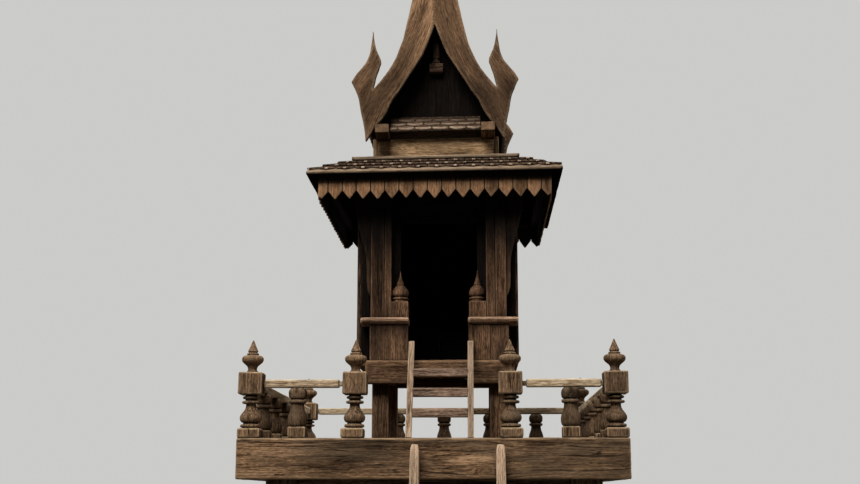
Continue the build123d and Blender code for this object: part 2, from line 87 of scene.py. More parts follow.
def noise(x, y, z):
    """Smooth gradient noise, about -0.6 to 0.6."""
    x, y, z = np.broadcast_arrays(np.asarray(x, float), np.asarray(y, float), np.asarray(z, float))
    xi, yi, zi = np.floor(x), np.floor(y), np.floor(z)
    fx, fy, fz = x - xi, y - yi, z - zi
    xi, yi, zi = xi.astype(int) & 255, yi.astype(int) & 255, zi.astype(int) & 255
    u, v, w = (t * t * t * (t * (t * 6 - 15) + 10) for t in (fx, fy, fz))
    total = 0.0
    for dx in (0, 1):
        for dy in (0, 1):
            for dz in (0, 1):
                g = _GRAD[_PERM[_PERM[_PERM[(xi + dx) & 255] + ((yi + dy) & 255)] + ((zi + dz) & 255)]]
                d = g[..., 0] * (fx - dx) + g[..., 1] * (fy - dy) + g[..., 2] * (fz - dz)
                total = total + d * (u if dx else 1 - u) * (v if dy else 1 - v) * (w if dz else 1 - w)
    return total


def smooth(pts, n=4):
    """Catmull-Rom points through pts, ends kept."""
    out = []
    for i in range(len(pts) - 1):
        p0 = pts[i - 1] if i > 0 else pts[i]
        p1, p2 = pts[i], pts[i + 1]
        p3 = pts[i + 2] if i + 2 < len(pts) else pts[i + 1]
        for k in range(n):
            t = k / n
            out.append(tuple(0.5 * (2 * b + (c - a) * t + (2 * a - 5 * b + 4 * c - d) * t * t
                                    + (3 * b - a - 3 * c + d) * t ** 3)
                             for a, b, c, d in zip(p0, p1, p2, p3)))
    out.append(tuple(pts[-1]))
    return out


def spread(a, b, step):
    n = max(1, int(round(abs(b - a) / step)))
    return np.linspace(a, b, n + 1)


# --- a piece: many closed shells joined in one mesh ------------------------------
class Piece:
    def __init__(self, name):
        self.name = name
        self.v, self.g, self.m, self.t, self.s = [], [], [], [], []
        self.faces, self.flat = [], []
        self.n = 0

    def add(self, verts, faces, grain, mask=None, tone=0.5, soot_and_shade=None, flat=None):
        """verts in mm, faces as lists of indices, grain in mm (along, across, across), mask = edge, groove, knot. The
        edge channel is wear, and on shingle tips also painted highlight; the groove channel is cracks, dirt and painted
        shade; the soot value darkens for soot and for painted shade.
        """
        verts = np.asarray(verts, float)
        n = len(verts)
        vol = 0.0
        for f in faces:
            a = verts[f[0]]
            for i in range(1, len(f) - 1):
                vol += np.dot(a, np.cross(verts[f[i]], verts[f[i + 1]]))
        if vol < 0:
            faces = [f[::-1] for f in faces]
        base = self.n
        self.v.append(verts)
        self.g.append(np.asarray(grain, float))
        self.m.append(np.zeros((n, 3)) if mask is None else np.asarray(mask, float))
        self.t.append(np.broadcast_to(np.asarray(tone, float), (n,)))
        self.s.append(np.zeros(n) if soot_and_shade is None else np.broadcast_to(np.asarray(soot_and_shade, float), (n,)))
        self.faces.extend([[base + i for i in f] for f in faces])
        self.flat.extend(flat if flat is not None else [False] * len(faces))
        self.n += n

    def make(self, material, slot, *nodes):
        co = place(settle(np.concatenate(self.v)))
        me = bpy.data.meshes.new(self.name)
        me.from_pydata(co.tolist(), [], self.faces)
        for key, arr, kind in (("grain", np.concatenate(self.g) / 1000.0, "FLOAT_VECTOR"),
                               ("mask", np.concatenate(self.m), "FLOAT_VECTOR"),
                               ("tone", np.concatenate(self.t), "FLOAT"),
                               ("soot_and_shade", np.concatenate(self.s), "FLOAT")):
            a = me.attributes.new(key, kind, "POINT")
            a.data.foreach_set("vector" if kind == "FLOAT_VECTOR" else "value", np.asarray(arr, np.float32).ravel())
        me.polygons.foreach_set("use_smooth", [not f for f in self.flat])
        me.update()
        me.materials.append(material)
        o = bpy.data.objects.new(self.name, me)
        bpy.context.scene.collection.objects.link(o)
        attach(o, "root")
        if nodes:
            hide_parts(*nodes)
        return o


# --- grain coordinates ------------------------------------------------------------
def grain_of(u, v, t, rs, cut="flat", pith=None):
    """Where a point lies in the tree: u along the trunk, the other two from its heart."""
    if pith is None:
        if cut == "flat":
            pith = (rs.uniform(-14, 14), rs.choice([-1, 1]) * rs.uniform(22, 60))
        elif cut == "quarter":
            pith = (rs.choice([-1, 1]) * rs.uniform(60, 130), rs.uniform(-10, 10))
        else:
            pith = (rs.uniform(-9, 9), rs.uniform(-9, 9))
    return np.stack([u + rs.uniform(-4000, 4000), v - pith[0] + 0 * u, t - pith[1] + 0 * u], -1)


def knots_at(u, v, grain, mask, knots):
    """Rings flow round each knot (u, v, radius)."""
    for ku, kv, kr in knots:
        d = np.hypot((u - ku) / 1.35, v - kv)
        e = np.exp(-(((u - ku) / (4.2 * kr)) ** 2 + ((v - kv) / (2.6 * kr)) ** 2))
        grain[..., 1] += np.sign(v - kv + 1e-6) * kr * 1.6 * e * np.clip(np.abs(v - kv) / kr, 0, 1)
        grain[..., 2] += kr * 1.1 * e
        mask[..., 2] = np.maximum(mask[..., 2], np.clip(1.15 - d / kr, 0, 1))


# --- boards ------------------------------------------------------------------------
def board(P, box, g="x", seed=0, r=1.2, er=None, step=8.0, across=2.6, rough=0.22, wear=0.5, cut=None,
          bow=0.0, knots=(), cracks=(), tone=None, warp=None, widen=None, deepen=None, mapf=None, soot_and_shade=None,
          pith=None, edge=1.0, end_edge=1.0, tight=True, gwarp=None):
    """A worn board that fills box = (x0, x1, y0, y1, z0, z1) with its grain along g.
    cracks: (side, v, u0, u1, depth) with side +1 or -1, on the faces where t is +h/2 or -h/2."""
    rs = np.random.RandomState(seed + 1)
    x0, x1, y0, y1, z0, z1 = box
    c = np.array([(x0 + x1) / 2, (y0 + y1) / 2, (z0 + z1) / 2])
    size = np.array([x1 - x0, y1 - y0, z1 - z0])
    iu = "xyz".index(g)
    rest = [i for i in range(3) if i != iu]
    iv, it = (rest if size[rest[0]] >= size[rest[1]] else rest[::-1])
    L, W, H = size[iu], size[iv], size[it]
    r = min(r, 0.45 * H, 0.45 * W)
    er = r if er is None else min(er, r)
    # section, anticlockwise, from the middle of the +t face to the left
    pts, nrm, edg, crk = [], [], [], []

    def side(ax, ay, bx, by, nx, ny, face):
        ln = math.hypot(bx - ax, by - ay)
        ss = list(spread(0, ln, across)[1:-1])
        if tight and ln > 3.0:
            ss = [s for s in ss if 1.3 < s < ln - 1.3] + [0.8, ln - 0.8]
        extra = []
        if face:
            for ci, (cs, cv, cu0, cu1, cd) in enumerate(cracks):
                if cs == face:
                    s0 = abs(cv - ax)
                    ss = [s for s in ss if abs(s - s0) > 2.6]
                    extra += [(s0 + o, ci, k) for o, k in ((-1.7, 0.0), (-0.55, 0.3), (0.0, 1.0), (0.55, 0.3), (1.7, 0.0))]
        for s, ci, k in sorted([(s, -1, 0.0) for s in ss] + extra):
            pts.append((ax + (bx - ax) * s / ln, ay + (by - ay) * s / ln))
            nrm.append((nx, ny))
            edg.append(0.0)
            crk.append((ci, k))

    a, b = W / 2, H / 2
    corners = [(-1, 1, 90), (-1, -1, 180), (1, -1, 270), (1, 1, 0)]
    side(a - r, b, -a + r, b, 0, 1, 1)
    for k, (sx, sy, a0) in enumerate(corners):
        for j, e in ((0, 0.45), (1, 1.0), (2, 0.45)):
            th = math.radians(a0 + 45 * j)
            pts.append((sx * (a - r) + r * math.cos(th), sy * (b - r) + r * math.sin(th)))
            nrm.append((math.cos(th), math.sin(th)))
            edg.append(e)
            crk.append((-1, 0.0))
        if k == 0:
            side(-a, b - r, -a, -b + r, -1, 0, 0)
        elif k == 1:
            side(-a + r, -b, a - r, -b, 0, -1, -1)
        elif k == 2:
            side(a, -b + r, a, b - r, 1, 0, 0)
    pts, nrm, edg = np.array(pts), np.array(nrm), np.array(edg)
    ns = len(pts)
    us = [(0, 0.92 * er, 1.0), (0.3 * er, 0.3 * er, 1.0), (er, 0.0, 0.4)]
    mid = [q for q in spread(0, L, step)[1:-1] if er + 1.5 < q < L - er - 1.5]
    us += [(q, 0.0, 0.0) for q in ([er + 0.9] + mid + [L - er - 0.9])] if L > 2 * er + 3 else []
    us += [(L - q[0], q[1], q[2]) for q in us[2::-1]]
    U = np.array([q[0] for q in us])[:, None] - L / 2
    inset = np.array([q[1] for q in us])[:, None]
    uedge = np.array([q[2] for q in us])[:, None] * end_edge
    V = pts[:, 0][None] - nrm[:, 0][None] * inset
    T = pts[:, 1][None] - nrm[:, 1][None] * inset
    U = np.broadcast_to(U, V.shape).copy()
    V, T = V.copy(), T.copy()
    o1, o2, o3 = rs.uniform(0, 200, 3)
    # cracks: a groove that wanders and dies out at both ends
    groove = np.zeros_like(V)
    for ci, (cs, cv, cu0, cu1, cd) in enumerate(cracks):
        sel = np.array([k[0] == ci for k in crk])
        k = np.array([q[1] for q in crk])
        env = np.clip((U - cu0) / 9.0, 0, 1) * np.clip((cu1 - U) / 9.0, 0, 1)
        env = env * np.clip(0.75 + 1.3 * noise(U * 0.05, o1 + ci * 7.7, o3), 0.15, 1)
        V += np.where(sel[None], 2.2 * noise(U * 0.018, o2 + ci * 3.3, o1) * 2, 0)
        groove += np.where(sel[None], k[None] * env * cd, 0)
    # surface: fibres, worn arrises, nicks
    f = noise(U * 0.016 + o1, V * 0.21 + o2, T * 0.21 + o3) + 0.6 * noise(U * 0.04 + o2, V * 0.4 + o3, T * 0.4 + o1)
    d = rough * (f - 0.25)
    e2 = np.maximum(edg[None], uedge)
    w1 = np.clip(noise(U * 0.045 + o3, V * 0.07 + o1, T * 0.07 + o2) + 0.12, 0, 1)
    w2 = np.clip(noise(U * 0.16 + o1, V * 0.12 + o3, T * 0.12) - 0.22, 0, 1)
    d -= wear * e2 * (1.1 * w1 + 3.0 * w2)
    d -= groove
    V += nrm[:, 0][None] * d
    T += nrm[:, 1][None] * d
    if er > 0.3:
        k0 = rough * 0.8
        U[0] += k0 * (0.5 + noise(V[0] * 0.2 + o1, T[0] * 0.2, o2))
        U[-1] -= k0 * (0.5 + noise(V[-1] * 0.2 + o3, T[-1] * 0.2, o2))
    G0 = grain_of(U, V, T, rs, cut or ("flat" if W > 1.8 * H else "post"), pith)
    M = np.zeros(V.shape + (3,))
    M[..., 0] = e2 * edge * (0.55 + 0.9 * (w1 + 0.2))
    M[..., 1] = np.clip(groove / 0.5, 0, 1)
    if gwarp is not None:
        gwarp(U, V, T, G0, M)
    if knots:
        knots_at(U, V, G0, M, knots)
    nu = (U / L + 0.5)
    if widen is not None:
        V = V * widen(nu)
    if deepen is not None:
        T = T * deepen(nu)
    if bow:
        T = T + bow * 4 * nu * (1 - nu)
    X = np.zeros(V.shape + (3,))
    X[..., iu], X[..., iv], X[..., it] = U, V, T
    X = X + c
    if warp is not None:
        X = warp(X)
    if mapf is not None:
        X = mapf(X)
    nr = len(us)
    faces = []
    for i in range(nr - 1):
        p, q = i * ns, (i + 1) * ns
        faces += [[p + j, p + (j + 1) % ns, q + (j + 1) % ns, q + j] for j in range(ns)]
    flat = [False] * len(faces)
    faces += [list(range(ns - 1, -1, -1)), [(nr - 1) * ns + j for j in range(ns)]]
    flat += [True, True]
    Xf = X.reshape(-1, 3)
    so = soot_and_shade(Xf) if callable(soot_and_shade) else (None if soot_and_shade is None else np.full(len(Xf), soot_and_shade))
    tn = rs.uniform(0.2, 0.8) if tone is None else (tone(Xf) if callable(tone) else tone)
    P.add(Xf, faces, G0.reshape(-1, 3), M.reshape(-1, 3), tn, so, flat)


# --- turned work --------------------------------------------------------------------
def turned(P, cx, cy, profile, seed=0, seg=40, rough=0.1, z0=0.0, tone=None, square=None, notch=None, soot_and_shade=None, res=0.9, mapf=None):
    """Profile of (radius, z) turned about an upright axis. square(z) blends towards a cushion section."""
    rs = np.random.RandomState(seed + 5)
    pr = np.array(profile, float)
    fine = [pr[0]]
    for p, q in zip(pr, pr[1:]):
        n = max(1, int(math.ceil(math.dist(p, q) / (res * 2.2))))
        fine += [p + (q - p) * k / n for k in range(1, n + 1)]
    pr = np.array(fine)
    ln = np.concatenate([[0], np.cumsum(np.hypot(*np.diff(pr, axis=0).T))])
    # ridges and grooves against the profile smoothed over a few mm
    grid = np.linspace(0, ln[-1], max(8, int(ln[-1] / 0.4)))
    rr = np.interp(grid, ln, pr[:, 0])
    k = np.hanning(13)
    sm = np.convolve(np.pad(rr, 6, mode="edge"), k / k.sum(), mode="valid")
    bump = np.interp(ln, grid, rr - sm)
    th = np.arange(seg) * 2 * math.pi / seg
    R = pr[:, 0][:, None] * np.ones(seg)[None]
    Z = pr[:, 1][:, None] + np.zeros(seg)[None]
    if square is not None:
        n_ = 3.4
        sup = 1.0 / (np.abs(np.cos(th)) ** n_ + np.abs(np.sin(th)) ** n_) ** (1 / n_)
        s = np.array([square(z) for z in pr[:, 1]])[:, None]
        R = R * (1 + (sup[None] - 1) * s)
    o = rs.uniform(0, 90, 3)
    C, S = np.cos(th)[None], np.sin(th)[None]
    R = R * (1 + 0.012 * np.cos(2 * th + o[0])[None])
    cut = np.zeros_like(R)
    if notch is not None:
        cut = notch(th[None], Z)
    x0_, y0_ = R * C, R * S
    wob = rough * (noise(x0_ * 0.25 + o[0], y0_ * 0.25 + o[1], Z * 0.03 + o[2]) - 0.1)
    chip = np.clip(noise(x0_ * 0.16 + o[1], y0_ * 0.16 + o[2], Z * 0.16 + o[0]) - 0.27, 0, 1)
    R = np.maximum(R + wob - np.clip(bump, 0, 0.6)[:, None] * 4.0 * chip - cut, 0.25)
    X = np.stack([cx + R * C, cy + R * S, Z + z0], -1)
    pith = (rs.choice([-1, 1]) * rs.uniform(8, 26), rs.choice([-1, 1]) * rs.uniform(8, 26))
    g = grain_of(Z, R * C, R * S, rs, pith=pith)
    M = np.zeros(X.shape)
    M[..., 0] = np.clip(bump / 0.55, 0, 1)[:, None] * (0.7 + 0.8 * chip)
    # groove mask: dirt and painted shade in the grooves between the rings
    M[..., 1] = np.clip(np.clip(-bump / 0.6, 0, 1)[:, None] + np.clip(cut / 1.0, 0, 1), 0, 1)
    nr = len(pr)
    faces = []
    for i in range(nr - 1):
        p, q = i * seg, (i + 1) * seg
        faces += [[p + j, p + (j + 1) % seg, q + (j + 1) % seg, q + j] for j in range(seg)]
    flat = [False] * len(faces)
    faces += [list(range(seg - 1, -1, -1)), [(nr - 1) * seg + j for j in range(seg)]]
    flat += [True, True]
    Xf = X.reshape(-1, 3)
    if mapf is not None:
        Xf = mapf(Xf)
    P.add(Xf, faces, g.reshape(-1, 3), M.reshape(-1, 3), rs.uniform(0.25, 0.75) if tone is None else tone,
          None if soot_and_shade is None else np.full(len(Xf), soot_and_shade), flat)


# --- sawn plates of any outline ---------------------------------------------------------
def resample(poly, step):
    out = []
    n = len(poly)
    for i in range(n):
        p, q = np.array(poly[i], float), np.array(poly[(i + 1) % n], float)
        k = max(1, int(round(np.linalg.norm(q - p) / step)))
        out += [tuple(p + (q - p) * j / k) for j in range(k)]
    return np.array(out)


def plate(P, outline, t0, t1, mapf, gdir=0.0, seed=0, bev=0.9, along=6.0, across=2.8, rough=0.22, wear=0.4, tone=None,
          knots=(), edge=1.0, step=2.6, soot_and_shade=None, pith=None, gfun=None, cut="flat", dirt_and_shade=None, t_soot_and_shade=None):
    """Outline in (a, b), thickness t0 to t1; mapf takes (a, b, t) arrays to mm. gdir is the grain's angle in the plane."""
    rs = np.random.RandomState(seed + 3)
    loop = resample(outline, step)
    area = 0.5 * np.sum(loop[:, 0] * np.roll(loop[:, 1], -1) - np.roll(loop[:, 0], -1) * loop[:, 1])
    if area < 0:
        loop = loop[::-1]
    prev, nxt = loop - np.roll(loop, 1, 0), np.roll(loop, -1, 0) - loop
    prev /= np.linalg.norm(prev, axis=1)[:, None]
    nxt /= np.linalg.norm(nxt, axis=1)[:, None]
    n1, n2 = np.stack([prev[:, 1], -prev[:, 0]], 1), np.stack([nxt[:, 1], -nxt[:, 0]], 1)
    nn = n1 + n2
    nn /= np.maximum(np.linalg.norm(nn, axis=1), 1e-6)[:, None]
    mitre = 1.0 / np.clip(np.sum(nn * n1, 1), 0.55, 1)
    thick = t1 - t0
    bev = min(bev, 0.4 * thick)
    ins = loop - nn * (bev * mitre)[:, None]
    ca, sa = math.cos(gdir), math.sin(gdir)
    rot = np.array([[ca, -sa], [sa, ca]])       # (along, across) -> (a, b)
    q = ins @ rot
    lo, hi = q.min(0), q.max(0)
    gu, gv = np.arange(lo[0] + along / 2, hi[0], along), np.arange(lo[1] + across / 2, hi[1], across)
    if len(gu) and len(gv):
        UU, VV = np.meshgrid(gu, gv)
        UU = UU + (np.arange(len(gv)) % 2)[:, None] * along / 2
        cand = np.stack([UU.ravel(), VV.ravel()], 1) + rs.uniform(-0.25, 0.25, (UU.size, 2))
        a, b = q, np.roll(q, -1, 0)
        inside = np.zeros(len(cand), bool)
        dist = np.full(len(cand), 1e9)
        for (ax, ay), (bx, by) in zip(a, b):
            cond = (ay > cand[:, 1]) != (by > cand[:, 1])
            with np.errstate(divide="ignore", invalid="ignore"):
                xi = (bx - ax) * (cand[:, 1] - ay) / (by - ay) + ax
            inside ^= cond & (cand[:, 0] < xi)
            dx, dy = bx - ax, by - ay
            tt = np.clip(((cand[:, 0] - ax) * dx + (cand[:, 1] - ay) * dy) / max(dx * dx + dy * dy, 1e-9), 0, 1)
            dist = np.minimum(dist, np.hypot(cand[:, 0] - ax - tt * dx, cand[:, 1] - ay - tt * dy))
        cand = cand[inside & (dist > 0.55 * across)] @ rot.T
    else:
        cand = np.zeros((0, 2))
    n = len(ins)
    allp = [Vector(p) for p in np.concatenate([ins, cand])]
    vs, _, fs, ov, _, _ = delaunay_2d_cdt(allp, [], [list(range(n))], 1, 1e-6)
    pos = np.array([[v.x, v.y] for v in vs])
    where = {}
    for i, src in enumerate(ov):
        for s in src:
            where[s] = i
    ring = [where[i] for i in range(n)]
    isedge = np.zeros(len(pos))
    isedge[ring] = 0.75
    k = len(pos)
    mids = list(spread(t0 + bev, t1 - bev, 3.6))
    A = [pos, pos]
    T = [np.full(k, t0), np.full(k, t1)]
    E = [isedge, isedge]
    NRM = [np.tile([0, 0, -1.0], (k, 1)), np.tile([0, 0, 1.0], (k, 1))]
    off = 2 * k
    for j, tm in enumerate(mids):
        A.append(loop)
        T.append(np.full(n, tm))
        E.append(np.full(n, 0.85 if j in (0, len(mids) - 1) else 0.1))
        NRM.append(np.concatenate([nn, np.zeros((n, 1))], 1))
    AB, T, E, NRM = np.concatenate(A), np.concatenate(T), np.concatenate(E), np.concatenate(NRM)
    faces = [list(f) for f in fs] + [[k + i for i in f[::-1]] for f in fs]
    rings = [ring] + [[off + j * n + i for i in range(n)] for j in range(len(mids))] + [[k + i for i in ring]]
    for p_, q_ in zip(rings, rings[1:]):
        faces += [[p_[i], q_[i], q_[(i + 1) % n], p_[(i + 1) % n]] for i in range(n)]
    UV = AB @ rot
    u, v = UV[:, 0], UV[:, 1]
    o = rs.uniform(0, 150, 3)
    f = noise(u * 0.016 + o[0], v * 0.21 + o[1], T * 0.2 + o[2]) + 0.6 * noise(u * 0.045 + o[1], v * 0.42 + o[2], T * 0.4)
    d = rough * (f - 0.25)
    w1 = np.clip(noise(u * 0.05 + o[2], v * 0.09 + o[0], T * 0.07) + 0.12, 0, 1)
    w2 = np.clip(noise(u * 0.15 + o[0], v * 0.15 + o[2], T * 0.12) - 0.22, 0, 1)
    d -= wear * E * (1.1 * w1 + 3.0 * w2)
    AB = AB + NRM[:, :2] * d[:, None]
    T = T + NRM[:, 2] * d
    if gfun is None:
        g = grain_of(u, v, T, rs, cut, pith)
    else:
        g = gfun(AB[:, 0], AB[:, 1], T, rs)
    M = np.zeros((len(AB), 3))
    M[:, 0] = E * edge * (0.55 + 0.9 * (w1 + 0.2))
    if dirt_and_shade is not None:
        M[:, 1] = dirt_and_shade(AB[:, 0], AB[:, 1], T)
    if knots:
        knots_at(u, v, g, M, knots)
    X = mapf(AB[:, 0], AB[:, 1], T)
    so = soot_and_shade(X) if callable(soot_and_shade) else (None if soot_and_shade is None else np.full(len(X), soot_and_shade))
    if t_soot_and_shade is not None:
        so = t_soot_and_shade(T) if so is None else np.maximum(so, t_soot_and_shade(T))
    P.add(X, faces, g, M, rs.uniform(0.2, 0.8) if tone is None else (tone(X) if callable(tone) else tone), so)


def xz(a, b, t):
    """Outline in X and Z, thickness along Y."""
    return np.stack([a, t, b], -1)


def yz(a, b, t):
    """Outline in Y and Z, thickness along X."""
    return np.stack([t, a, b], -1)


def xy(a, b, t):
    return np.stack([a, b, t], -1)


# ---------------------------------------------------------------------------
# materials: one weathered timber, tuned for each slot
# ---------------------------------------------------------------------------
class Nodes:
    def __init__(self, mat):
        mat.use_nodes = True
        self.t = mat.node_tree
        self.t.nodes.clear()

    def new(self, kind, **props):
        n = self.t.nodes.new(kind)
        for k, v in props.items():
            setattr(n, k, v)
        return n

    def put(self, socket, value):
        if isinstance(value, bpy.types.NodeSocket):
            self.t.links.new(value, socket)
        elif value is not None:
            socket.default_value = value

    def math(self, op, a, b=None, c=None, clamp=False):
        n = self.new("ShaderNodeMath", operation=op, use_clamp=clamp)
        for s, v in zip(n.inputs, (a, b, c)):
            self.put(s, v)
        return n.outputs[0]

    def vmath(self, op, a, b=None):
        n = self.new("ShaderNodeVectorMath", operation=op)
        self.put(n.inputs[0], a)
        if b is not None:
            self.put(n.inputs[1], b)
        return n.outputs["Value" if op in ("LENGTH", "DOT_PRODUCT") else "Vector"]

    def noise(self, vec, detail=2.0, rough=0.5, scale=1.0, dims="3D", w=None, color=False):
        n = self.new("ShaderNodeTexNoise", noise_dimensions=dims)
        if vec is not None:
            self.put(n.inputs["Vector"], vec)
        if w is not None:
            self.put(n.inputs["W"], w)
        n.inputs["Scale"].default_value = scale
        n.inputs["Detail"].default_value = detail
        n.inputs["Roughness"].default_value = rough
        return n.outputs["Color" if color else "Fac"]

    def span(self, v, a, b, c=0.0, d=1.0, smooth=False):
        n = self.new("ShaderNodeMapRange", clamp=True)
        if smooth:
            n.interpolation_type = "SMOOTHSTEP"
        self.put(n.inputs["Value"], v)
        for k, x in (("From Min", a), ("From Max", b), ("To Min", c), ("To Max", d)):
            self.put(n.inputs[k], x)
        return n.outputs["Result"]

    def mix(self, fac, a, b, mode="MIX"):
        n = self.new("ShaderNodeMix", data_type="RGBA", blend_type=mode, clamp_factor=True)
        self.put(n.inputs[0], fac)
        self.put(n.inputs[6], a)
        self.put(n.inputs[7], b)
        return n.outputs[2]

    def ramp(self, fac, stops):
        n = self.new("ShaderNodeValToRGB")
        e = n.color_ramp.elements
        while len(e) < len(stops):
            e.new(0.5)
        for el, (p, c) in zip(e, stops):
            el.position, el.color = p, (*c, 1.0)
        self.put(n.inputs[0], fac)
        return n.outputs[0]


def timber(name, dark, mid, light, worn_and_highlight, grey=(0.21, 0.15, 0.1), greyness=0.25, cracks=1.0, rings=0.45, blotch=0.4,
           tones=0.5, dirt_and_shade=0.75, bump=1.0, fibre=1.0, ring_scale=400.0, worn_amount=1.0, green=0.0,
           contrast=1.15, fine_scale=1.0, streaks=0.14, sheen=0.05):
    m = bpy.data.materials.new(name)
    N = Nodes(m)
    grain = N.new("ShaderNodeAttribute", attribute_name="grain").outputs["Vector"]
    mask = N.new("ShaderNodeSeparateXYZ")
    N.put(mask.inputs[0], N.new("ShaderNodeAttribute", attribute_name="mask").outputs["Vector"])
    E, C, K = mask.outputs
    tone = N.new("ShaderNodeAttribute", attribute_name="tone").outputs["Fac"]
    soot_and_shade = N.new("ShaderNodeAttribute", attribute_name="soot_and_shade").outputs["Fac"]
    wv = N.vmath("SUBTRACT", N.noise(N.vmath("MULTIPLY", grain, (5.0, 26.0, 26.0)), 2.0, 0.5, color=True), (0.5, 0.5, 0.5))
    g2 = N.vmath("ADD", grain, N.vmath("MULTIPLY", wv, (0.0, 0.006, 0.006)))
    s2 = N.new("ShaderNodeSeparateXYZ")
    N.put(s2.inputs[0], g2)
    rad = N.vmath("LENGTH", N.vmath("MULTIPLY", g2, (0.0, 1.0, 1.0)))
    ring = N.noise(None, 2.5, 0.62, dims="1D", w=N.math("MULTIPLY_ADD", rad, ring_scale, N.math("MULTIPLY", s2.outputs[0], 0.8)))
    fib = N.noise(N.vmath("MULTIPLY", g2, (24.0, 360.0 * fine_scale, 360.0 * fine_scale)), 4.0, 0.7)
    fine = N.noise(N.vmath("MULTIPLY", grain, (70.0, 1150.0, 1150.0)), 2.0, 0.6)
    streak = N.noise(N.vmath("MULTIPLY", g2, (4.0, 85.0, 85.0)), 2.0, 0.6)
    blot = N.noise(N.vmath("MULTIPLY", grain, (7.0, 26.0, 26.0)), 3.0, 0.6)
    speck = N.noise(N.vmath("MULTIPLY", grain, (150.0, 620.0, 620.0)), 2.0, 0.65)
    parts = ((fib, 0.62 * fibre), (ring, rings), (streak, streaks), (fine, 0.24), (speck, 0.36))
    v = None
    for src, wt_ in parts:
        q = N.math("MULTIPLY", src, wt_)
        v = q if v is None else N.math("ADD", v, q)
    total = 0.5 * sum(w_ for _, w_ in parts)
    v = N.span(v, total - 0.17 / contrast, total + 0.17 / contrast)
    col = N.ramp(v, [(0.0, tuple(0.42 * c for c in dark)), (0.26, dark), (0.52, mid), (0.8, light), (1.0, tuple(1.25 * c for c in light))])
    # board to board, and stains along a board
    k = N.math("MULTIPLY", N.span(tone, 0.0, 1.0, 1.0 - 0.5 * tones, 1.0 + 0.5 * tones),
               N.span(blot, 0.32, 0.68, 1.0 - blotch, 1.0 + blotch, smooth=True))
    col = N.mix(1.0, col, N.vmath("MULTIPLY", (1, 1, 1), k), "MULTIPLY")
    # bleached film where rain reaches: upward faces and patches
    geo = N.new("ShaderNodeNewGeometry")
    sn = N.new("ShaderNodeSeparateXYZ")
    N.put(sn.inputs[0], geo.outputs["Normal"])
    up_ = N.span(sn.outputs[2], 0.15, 0.9, 0.0, 0.75)
    patch = N.span(N.noise(N.vmath("MULTIPLY", grain, (9.0, 40.0, 40.0)), 3.0, 0.6), 0.42, 0.66)
    film = N.math("MULTIPLY", N.math("ADD", up_, N.math("MULTIPLY", patch, 0.8)), greyness, clamp=True)
    col = N.mix(film, col, grey + (1.0,))
    if green > 0:
        gp = N.span(N.noise(N.vmath("MULTIPLY", grain, (30.0, 60.0, 60.0)), 3.0, 0.6), 0.52, 0.7, 0.0, green)
        col = N.mix(gp, col, (0.05, 0.055, 0.024, 1.0))
    # drying cracks and knots
    cn = N.noise(N.vmath("MULTIPLY", g2, (7.0, 105.0, 105.0)), 2.0, 0.5)
    line = N.span(N.math("ABSOLUTE", N.math("SUBTRACT", cn, 0.5)), 0.004, 0.019, 1.0, 0.0)
    here = N.span(N.noise(N.vmath("MULTIPLY", grain, (13.0, 34.0, 34.0)), 1.0, 0.5), 0.47, 0.58)
    crack = N.math("MULTIPLY", N.math("MULTIPLY", line, here), cracks, clamp=True)
    black = tuple(0.16 * c for c in dark) + (1.0,)
    col = N.mix(N.math("MULTIPLY", crack, 0.8), col, black)
    kn = N.math("MULTIPLY", K, N.span(ring, 0.35, 0.6, 1.0, 0.5))
    col = N.mix(kn, col, (dark[0] * 0.55, dark[1] * 0.45, dark[2] * 0.4, 1.0))
    # worn arrises, and painted highlight on shingle tips and pent butts, which use the same edge mask
    e = N.math("MULTIPLY", E, N.span(N.noise(N.vmath("MULTIPLY", grain, (40.0, 150.0, 150.0)), 3.0, 0.6), 0.3, 0.66, 0.15, 1.0))
    e = N.math("MULTIPLY", e, 0.85 * worn_amount, clamp=True)
    col = N.mix(e, col, worn_and_highlight + (1.0,))
    # dirt and painted shade in grooves, corners and under things, from occlusion and the groove mask
    ao = N.new("ShaderNodeAmbientOcclusion", samples=6)
    ao.inputs["Distance"].default_value = 0.016
    occ = N.span(ao.outputs["AO"], 0.25, 0.95, 1.0, 0.0)
    dd = N.math("MAXIMUM", N.math("MULTIPLY", occ, dirt_and_shade), N.math("MULTIPLY", C, 0.8), clamp=True)
    col = N.mix(dd, col, tuple(0.2 * c for c in dark) + (1.0,))
    # soot and painted shade: near black wherever the per-point soot value is set
    col = N.mix(soot_and_shade, col, (0.0022, 0.0016, 0.0013, 1.0))
    rough = N.span(v, 0.0, 1.0, 0.95, 0.74)
    h = N.math("ADD", N.math("MULTIPLY", fib, 0.55), N.math("MULTIPLY", ring, 0.3))
    h = N.math("ADD", h, N.math("MULTIPLY", fine, 0.22))
    h = N.math("SUBTRACT", h, N.math("MULTIPLY", crack, 0.8))
    b = N.new("ShaderNodeBump")
    b.inputs["Strength"].default_value = min(1.0, 0.8 * bump)
    b.inputs["Distance"].default_value = 0.0011
    N.put(b.inputs["Height"], h)
    s = N.new("ShaderNodeBsdfPrincipled")
    N.put(s.inputs["Base Color"], col)
    N.put(s.inputs["Roughness"], rough)
    s.inputs["Specular IOR Level"].default_value = sheen
    N.put(s.inputs["Normal"], b.outputs[0])
    out = N.new("ShaderNodeOutputMaterial")
    N.put(out.inputs[0], s.outputs[0])
    return m


